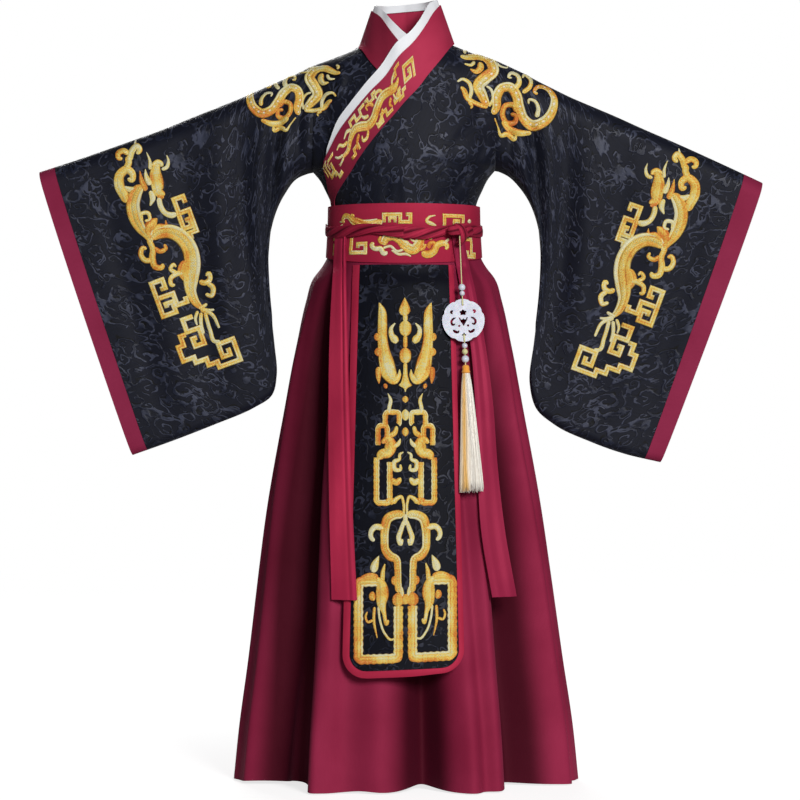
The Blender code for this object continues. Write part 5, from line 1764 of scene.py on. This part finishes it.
BELT_FIGURE = strokes("""
B -3.9,-3.2,.45 -5.5,-3.7,.6 -7.2,-3.9,.8 -8.8,-3.3,.7 -9.9,-2.8,.5 -10.6,-2.2,.4 -11.6,-2.1,.4
 -12.1,-2.8,.3 -11.7,-3.2,.25
p -9.6,-3.9,.4 -10.8,-4.6,.35 -11.8,-4.4,.3 -12.6,-3.6,.1
g -9.9,-2.5,.35 -10,-2,.3 -9.3,-2.1,.2
p 5.7,-2.1,.08 4.4,-2.5,.2 4,-3.1,.25 4.9,-3.6,.3 5.8,-3.9,.1
p 12.8,-2.9,.1 13.3,-2.9,.4 13.8,-2.9,.1
p -5.4,-6.9,.3 -5.8,-7.4,.35 -5.2,-8,.35 -4.2,-8,.4 -3.5,-8.9,.35 -2.9,-8.6,.3
B -3.6,-7.4,.5 -3.2,-6.2,.6 -2,-5.9,.6 -.9,-6.6,.5 .2,-7.6,.7 1.6,-8.2,.75 2.6,-7.2,.7 3,-6.1,.6
 4.2,-5.7,.5 5,-6.3,.3
p -3.7,-7.9,.2 -2.4,-7.6,.2 -1.2,-8.5,.2 0,-8,.2 .6,-7,.25 -.2,-6.7,.15
g 3,-8.8,.5 4.3,-9,.6 5.3,-8.4,.55 5.9,-7.4,.5 7.2,-7,.45 7.9,-7.5,.35 7.5,-8.1,.25
o 4.3,-8,.35 4.6,-7.1,.35 5.4,-7,.3 5.3,-7.7,.2
p 7.4,-6.9,.25 8.2,-6.2,.2
p -9,-2.5,.1 -7.8,-3,.16 -6.4,-3,.16 -4.8,-2.8,.1
o -8.9,-4.3,.2 -7.8,-4.6,.3 -6.8,-4.3,.2
g -10.9,-4.2,.25 -10.2,-4.8,.3 -9.3,-4.6,.2
p -12.2,-3.1,.1 -12.9,-3,.08
p -12.1,-3.5,.1 -12.8,-3.8,.08
o -1.9,-5.6,.2 -.9,-6,.3 .3,-5.7,.2
o -3.7,-7.2,.3 -4.4,-6.5,.28 -4.1,-5.8,.2
p 1,-6.3,.12 2,-6.8,.18 3,-6.7,.16 3.6,-7.6,.1
p -2.2,-8.3,.12 -1,-9,.2 .4,-9,.2 1.2,-9.4,.1
g 2.5,-8.2,.3 3.3,-8,.25 3.9,-7.2,.2
f -3.6,-3.4,.3 U1.4 R2.9 D1.3 R1.8 U1.3 L.8
f -2.6,-3.4,.24 U.8 R1.0 D.8
f 7.4,-4,.3 U1.9 R4.2 D1.8 L1.1 U.9 L1.0 D.7
f -9.9,-6,.32 D2.6 R2.9 U1.5 L1.5 D.7
f -14.8,-6,.26 R1.4 D1.1 L1.0 D1.5 R.8
f 11.9,-6.1,.3 R1.6 D2.6 R.9 D.5 L2.0 U1.1
""")
COLLAR_FIGURE = strokes("""
B 6.2,-.2,.35 7.4,.5,.5 9,.7,.55 10.6,0,.6 12,-.8,.6 13.6,-.8,.55 15,0,.55 16.4,.6,.5 18,.2,.4
 19.4,-.7,.3 20.8,-.7,.2
g 4.3,.6,.2 5.2,.1,.4 6.2,.2,.55 7.2,.9,.35
p 6.4,.6,.2 6,1.4,.2 5.1,1.9,.1
p 6.6,-.4,.2 6.2,-1.3,.2 5.2,-1.7,.1
o 7.3,-.5,.25 8,-1.2,.25 7.5,-1.8,.12
g 8.6,1.2,.22 9.3,1.9,.22 10.3,1.7,.2 10.1,1.1,.12
g 9.6,-.8,.25 10.4,-1.6,.24 11.5,-2,.2 11.9,-1.6,.12
o 11.2,.7,.25 11.9,1.5,.24 12.8,1.5,.18 12.6,.9,.1
p 12.8,.2,.2 13.8,.6,.22 14.2,1.2,.1
g 13.9,-1.4,.25 14.8,-2,.22 15.8,-1.7,.2 15.6,-1.1,.12
o 16,-.5,.22 16.9,-1,.25 17.6,-1.9,.1
p 17.2,1.1,.2 18.2,1.5,.22 19.3,1.1,.1
g 18.8,.3,.22 19.9,.5,.22 20.8,1.2,.18 21.6,1,.1
p 20.6,-.5,.18 21.6,-.2,.16 22.4,.5,.1
p 20.6,-.9,.18 21.7,-1.2,.15 22.4,-.9,.1
f .5,-1.2,.25 U2.3 R2.3 D1.8 L1.4 U.9 R.6
f 2.8,-1.4,.24 R.9 D.6 R1.4 U1.2 L.9
f 7.6,-2.1,.22 R1.5 U.8 R1.2 D1.0 R1.2 U.5
f 12.9,2.2,.22 R1.3 D.9 R1.3 U.9 R1.4 D.9
f 22.8,1.4,.24 R2.3 D1.1 L1.2 D.9 R2.4 U2.4 R1.2 D1.6
f 22.2,-1.9,.22 R1.4 U.8 R1.2
f 4.6,-1.9,.2 U.9 R1.1 D.7 R1.1 U.6
f 3.7,2.1,.2 R1.2 D.8 R.9
f 9.9,2.3,.2 R.9 D.7 R1.2 U.7 R.8
f 17.0,-2.2,.2 U.8 R1.2 D.7 R1.0
""")
WAYS = {"U": (0.0, 1.0), "D": (0.0, -1.0), "L": (-1.0, 0.0), "R": (1.0, 0.0)}
TONES = {"p": 0.12, "g": 0.46, "o": 0.76, "d": 1.3}
# Raised strips of each kind: offset and half width as shares of the stroke's, lift in millimetres, tone, and
# whether it has rows of scales.
PLAIN_STRIPS = table("""
offset share lift tone scaled
0 1 1.2 .16 0
.16 .58 1.8 -.08 0
""")
STRIPS = {"B": table("""
offset share lift tone scaled
0 1 1 .6 0
.68 .26 1.7 .14 0
.1 .36 1.9 .44 1
-.6 .3 1.6 .72 0
"""), "f": table("""
offset share lift tone scaled
0 1 .9 .62 0
.48 .4 1.5 .18 0
-.44 .44 1.5 .44 0
"""), "F": table("""
offset share lift tone scaled
0 1 1 .66 0
.56 .42 1.7 .72 0
-.02 .34 1.9 .42 0
-.66 .26 1.7 .14 0
""")}
ACROSS = np.array((-1.0, -0.80, -0.35, 0.35, 0.80, 1.0, 0.5, -0.5))
RISE = np.array((-0.15, 0.70, 1.0, 1.0, 0.70, -0.15, -0.6, -0.6))


def curved_line(points, plump):
    """Smooth curve through the points: place, its left side, half width rounded off at both ends, and run."""
    rows = np.array(points) * (1.0, 1.0, plump)
    whole = run_along(rows[:, :2])[-1]
    ends = np.minimum(rows[(0, -1), 2], whole * 0.45)
    first = ends[0] * (1 - np.cos(np.linspace(0.12, math.pi / 2, 5)))
    last = whole - ends[1] * (1 - np.cos(np.linspace(math.pi / 2, 0.12, 5)))
    inner = np.linspace(first[-1], last[0], max(int((last[0] - first[-1]) / 0.22), 2) + 1)[1:-1]
    t = np.concatenate([first, inner, last])
    place, side, half = smooth_line(rows, t)
    round_end = rounded(t / max(ends[0], 0.02)) * rounded((whole - t) / max(ends[1], 0.02))
    return place, side, np.maximum(half, 0.03) * np.maximum(round_end, 0.25), t


def square_line(points, plump, slant):
    """Straight runs with mitred corners: at a corner the side is the sum of both over 1 + their product.

    The moves are turned by slant degrees from the start point."""
    (x, y, half), *moves = points
    cosine, sine = math.cos(math.radians(slant)), math.sin(math.radians(slant))
    steps = np.array([np.multiply(WAYS[move[0]], float(move[1:])) for move in moves])
    corners = np.cumsum(np.vstack([(x, y), steps @ ((cosine, sine), (-sine, cosine))]), axis=0)
    way = np.diff(corners, axis=0)
    length = np.linalg.norm(way, axis=1)
    normal = left_of(way) / length[:, None]
    before, after = np.vstack([normal[:1], normal]), np.vstack([normal, normal[-1:]])
    mitre = (before + after) / (1 + (before * after).sum(axis=1, keepdims=True))
    counts = np.maximum((length / 0.5).astype(int), 1)
    number = np.concatenate([k + np.arange(n) / n for k, n in enumerate(counts)] + [[len(way)]])
    run = np.concatenate([[0.0], np.cumsum(length)])
    knots = np.arange(len(corners))
    whole = np.abs(number - np.round(number)) < 1e-9
    plane = np.stack([np.interp(number, knots, column) for column in corners.T], axis=1)
    side = np.where(whole[:, None], mitre[np.round(number).astype(int)],
                    normal[np.minimum(number.astype(int), len(way) - 1)])
    return plane, side, np.full(len(number), half * plump), np.interp(number, knots, run)


def softened(plane, side, half, run):
    """The square line read every 2 mm and averaged over 1.2 cm, so that its corners are round; the half
    width swells and shrinks every 1.1 cm, as rows of scales do."""
    t = np.arange(-0.6, run[-1] + 0.6, 0.2)
    spots = np.stack([np.interp(t, run, column) for column in plane.T], axis=1)
    for end, other, beyond in ((0, 1, t < 0), (-1, -2, t > run[-1])):
        past = (t[beyond] - run[end])[:, None] * (plane[other] - plane[end]) / (run[other] - run[end])
        spots[beyond] = plane[end] + past
    soft = np.stack([np.convolve(column, np.full(7, 1 / 7.0), "valid") for column in spots.T], axis=1)
    run = t[3:-3]
    wide = half[0] * (1 + 0.07 * np.sin(run * 5.7))
    return soft, left_of(unit(np.gradient(soft, axis=0))), wide, run


def strips_of(line, rows, tone):
    """Each row of the table as rings of eight along the line: plane place, lift, marks and UV."""
    plane, side, half, run = line
    for offset, share, lift, own_tone, scaled in rows:
        middle = plane + side * (half * offset)[:, None]
        wide = (half * share)[:, None]
        across = middle[:, None, :] + side[:, None, :] * (wide * ACROSS)[..., None]
        height = np.minimum(lift, lift * (0.35 + wide * 1.4)) * MM
        rise = np.where(RISE > 0, RISE * height, RISE * 0.9 * MM)
        yield across, rise, stack(own_tone + tone, ACROSS, scaled + 0 * rise), np.stack(
            np.broadcast_arrays(run[:, None] * 0.01, wide * ACROSS * 0.01), axis=-1)


def figure_strips(figure, plump, slant=0.0):
    """Strips of every stroke of the figure, plumper than drawn; its frets' moves are turned by slant."""
    made = []
    for kind, *points in figure:
        line = square_line(points, plump, slant) if kind in "fF" else curved_line(points, plump)
        line = softened(*line) if kind == "F" else line
        made.extend(strips_of(line, STRIPS.get(kind, PLAIN_STRIPS), TONES.get(kind, 0.0)))
    return made


def motif(name, made, place, lean=0.0, flip=1.0, size=1.0, spotted=False):
    """Satin-stitched figure on a ground: place(x, y) gives the cloth's face and its outward side.

    Every strip is a raised band; its centimetres are turned by lean, mirrored by flip and sized."""
    faces, bands, start = [], [], 0
    cap = np.array(((0, 1, 4, 5), (1, 2, 3, 4), (5, 6, 7, 0)))
    for strip in made:
        end = (len(strip[0]) - 1) * 8
        band = np.concatenate([grid_faces(len(strip[0]), 8, ring=True), cap[:, ::-1], end + cap])
        faces.append(start + band)
        bands.append(np.full(len(band), len(bands)))
        start += end + 8
    across, rise, marks, uv = (np.concatenate(rows).reshape(start, -1) for rows in zip(*made))
    plane, faces, turn = across * size * 0.01, np.concatenate(faces), math.radians(lean)
    x = flip * (plane[:, 0] * math.cos(turn) - plane[:, 1] * math.sin(turn))
    spot, side = place(x, plane[:, 0] * math.sin(turn) + plane[:, 1] * math.cos(turn))
    points = spot + side * rise
    faces = outward(points, faces, side, np.concatenate(bands))
    marks = {"tone": marks[:, 0], "across": marks[:, 1], "scaled": marks[:, 2] * (2 if spotted else 1)}
    replace(new_piece(name, points, faces, GOLD, uv, marks=marks))


def outward(points, faces, side, bands):
    """Faces of each band turned so that the sum over its top looks along side."""
    a, b, c, d = (points[faces[:, k]] for k in range(4))
    up = (np.cross(c - a, d - b) * side[faces[:, 0]]).sum(axis=1)
    whole = np.bincount(bands, weights=up * (faces[:, 0] % 8 == 2))
    return np.where(whole[bands][:, None] < 0, faces[:, ::-1], faces)


def ground_of(surface, away):
    """Face and unit outward side of a surface of two plane coordinates, from its slopes over a millimetre."""
    def read(x, y):
        here = surface(x, y)
        side = np.cross(surface(x + MM, y) - surface(x - MM, y), surface(x, y + MM) - surface(x, y - MM))
        side = side / np.maximum(np.linalg.norm(side, axis=1, keepdims=True), 1e-12)
        return here, side * np.sign((side * away(here)).sum(axis=1, keepdims=True))
    return read


def to_front(points):
    return np.broadcast_to((0.0, -1.0, 0.0), points.shape)


def to_outside(points):
    return points * np.array((1.0, 1.0, 0.0))


def sleeve_under(x, z, side):
    """Sleeve's s and turn under (x, z): s by halving on the ruled line through the point."""
    low, high = np.zeros(x.shape), np.ones(x.shape)
    for _ in range(26):
        s = (low + high) / 2
        top_x, top_z, low_x, low_z = curves(SLEEVES[side], s)
        beyond = (low_x - top_x) * (z - top_z) - (low_z - top_z) * (side * x - top_x) < 0
        low, high = np.where(beyond, low, s), np.where(beyond, s, high)
    share = np.clip((top_z - z) / (top_z - low_z), 0.0, 1.0)
    return s, np.arccos(1 - 2 * share) / math.pi


def robe_front(x, z):
    """Front face of the bodice or the sleeve under (x, z), creases in."""
    left, right = (in_front(sleeve_point(*sleeve_under(x, z, side), side), ARM_FRONT[side])
                   for side in (-1, 1))
    theta, down = body_coords(x, z)
    inside = (np.abs(x) < body_half(down))[..., None]
    on_body = in_front(body_point(theta, down), FRONT_CREASES)
    return np.where(inside, on_body, np.where((x > 0)[..., None], right, left))


def make_embroidery():
    for name, x0, z0, flip, lean, size, figure in (
        # name,                x0,     z0,   flip, lean, size, figure
        ("sleeve_dragon_left", -.4074, -.37, 1, 0, 1, SLEEVE_DRAGON),
        ("sleeve_dragon_right", .4182, -.385, -1, 0, 1, SLEEVE_DRAGON),
        ("shoulder_dragon_right", .1834, -.0958, 1, 0, 1, SHOULDER_DRAGON),
        ("shoulder_dragon_left", -.201, -.095, -1, 17, .88, SHOULDER_DRAGON),
    ):
        place = ground_of(lambda x, y, x0=x0, z0=z0: robe_front(x + x0, y + z0), to_front)
        motif(name, figure_strips(figure, 1.32, 20.0), place, lean, flip, size, name.startswith("shoulder"))
    left = figure_strips(APRON_LEFT, 1.15)
    right = [(across * (-1.0, 1.0), *rest) for across, *rest in left]
    apron = ground_of(lambda x, y: apron_face(x + 0.002, y - 0.5406), to_front)
    motif("apron_figure", figure_strips(APRON_MIDDLE, 1.15) + left + right, apron, size=(0.95, 0.972))
    belt = figure_strips(BELT_FIGURE, 1.3)
    motif("belt_figure", belt, ground_of(lambda x, y: belt_face(x, -y, BELT_WALL), to_outside))
    half_way = BELT_ARC[-1]
    motif("belt_figure_back", belt, ground_of(lambda x, y: belt_face(
        (x + half_way * 2) % (2 * half_way) - half_way, -y * 0.78, BELT_WALL), to_outside))
    stations = np.linspace(4.0, LAST, 300)
    middle = collar_point(stations, np.full(300, 0.5), 1, BAND_LEVEL + CLOTH)
    first = np.argmin(np.hypot(middle[:, 0] - 0.0378, middle[:, 2] + 0.0126))
    run = run_along(middle)
    run = run - run[first] - 0.032

    def collar_face(x, y):
        t = np.interp(x, run, stations)
        return collar_point(t, laid_over(t, 0.5 + y / BAND_WIDTH), 1, BAND_LEVEL + CLOTH)

    motif("collar_figure", figure_strips(COLLAR_FIGURE, 1.35), ground_of(collar_face, to_front))


make_embroidery()


# ---- how each sheet was cut: a table that the loop below reads but does not use
for name, width, length, area, held, under in (
    # name,        width, length, area, held,   under
    ("back_panel", .37, .34, .12, "draped", ()),
    ("over_front", .34, .33, .079, "draped", ("under_front",)),
    ("under_front", .32, .33, .075, "draped", ()),
    ("sleeve_cloth_left", .56, 1.06, .43, "hung", ()),
    ("sleeve_cloth_right", .56, 1.06, .43, "hung", ()),
    ("cuff_band_left", .030, 1.08, None, "hung", ()),
    ("cuff_band_right", .034, 1.07, None, "hung", ()),
    ("neck_band", .058, 1.13, None, "laid", ("over_front", "back_panel")),
    ("white_guard_strip", .021, .86, None, "laid", ("neck_band",)),
    ("skirt_front_cloth", 1.06, .93, .73, "gathered", ()),
    ("skirt_back_cloth", 1, .93, .685, "gathered", ()),
    ("belt_band", .083, .85, None, "laid", ("over_front", "back_panel")),
    ("twisted_tie", .028, .9, None, "folded", ("belt_band",)),
    ("tie_knot", .022, .055, None, "folded", ("twisted_tie",)),
    ("knot_loop", .022, .055, None, "folded", ("tie_knot",)),
    ("knot_tuck", .022, .037, None, "folded", ("twisted_tie",)),
    ("tie_end_left", .044, .62, None, "hung", ("twisted_tie",)),
    ("tie_end_right", .044, .61, None, "hung", ("twisted_tie",)),
    ("apron_cloth", .178, .7, None, "hung", ("skirt_front_cloth",)),
    ("apron_binding", .0125, 1.64, None, "hung", ("skirt_front_cloth",)),
):
    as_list(under)


# ---- stage
FLOOR_Z = -1.318


def grey(value):
    return (value, value, value, 1.0)


def make_stage():
    """A pale round floor that glows as painted light: near white to the camera, brighter away from the robe,
    and faintly grey on the robe as fill; three soft area lights and a plain pale surround.
    """
    turn = np.linspace(0, 2 * math.pi, 97)[:-1]
    rings = np.array((0.02, 1.2, 3.0, 6.0))[:, None]
    points = stack(rings * np.cos(turn), rings * np.sin(turn), FLOOR_Z)
    made = new_material("pale_floor", Roughness=0.9, Emission_Strength=1.0)
    spot = coords(made, OBJECT)
    pale = blend(noise(spot, 3.0, 3.0), grey(0.44), grey(0.46))
    level = vector_calc("MULTIPLY", spot, (1.0, 1.0, 0.0))
    far = step_up(add(level.tree, "VectorMath", level, operation="LENGTH", out=1), 0.35, 1.3)
    # painted light: the floor glows near white to the camera, less near the robe, and glows 0.18 grey as fill
    # for every other ray
    seen = add(made.node_tree, "LightPath")
    glow = blend(seen, grey(0.18), blend(far, grey(0.76), grey(0.99)))
    finish(made, Base_Color=blend(far, pale, grey(0.02)), Emission_Color=glow)
    faces = grid_faces(4, 96, ring=True)
    new_piece("studio_floor", points.reshape(-1, 3), faces[:, ::-1], made)
    aim = Vector((0.0, 0.0, -0.62))
    for name, place, size, power, tint in (
        # name,      place,           size, power, tint
        ("key_light", (3.0, -7.6, 2.4), 2.4, 590, (1, .99, .98)),
        ("front_light", (.8, -4.8, .4), 1.6, 20, (.97, .985, 1)),
        ("rim_light", (-.6, 3.6, 1.2), 2.2, 80, (1, 1, 1)),
    ):
        lamp = bpy.data.lights.new(name, "AREA")
        lamp.size = size
        lamp.energy = power
        lamp.color = tint
        light = shown(name, lamp)
        light.location = place
        light.rotation_euler = (aim - Vector(place)).to_track_quat("-Z", "Y").to_euler()
    world = bpy.data.worlds.new("pale_surround")
    world.use_nodes = True
    tree = world.node_tree
    soft, white = tree.nodes["Background"], tree.nodes.new("ShaderNodeBackground")
    for surround, tint, strength in ((soft, (0.93, 0.95, 1.0, 1.0), 0.06), (white, grey(1.0), 1.0)):
        surround.inputs[0].default_value = tint
        surround.inputs[1].default_value = strength
    both = add(tree, "MixShader", add(tree, "LightPath"), Wire(soft.outputs[0]), Wire(white.outputs[0]))
    wire(tree.nodes["World Output"].inputs[0], both)
    bpy.context.scene.world = world
    bpy.context.scene.view_settings.view_transform = "Standard"


make_stage()
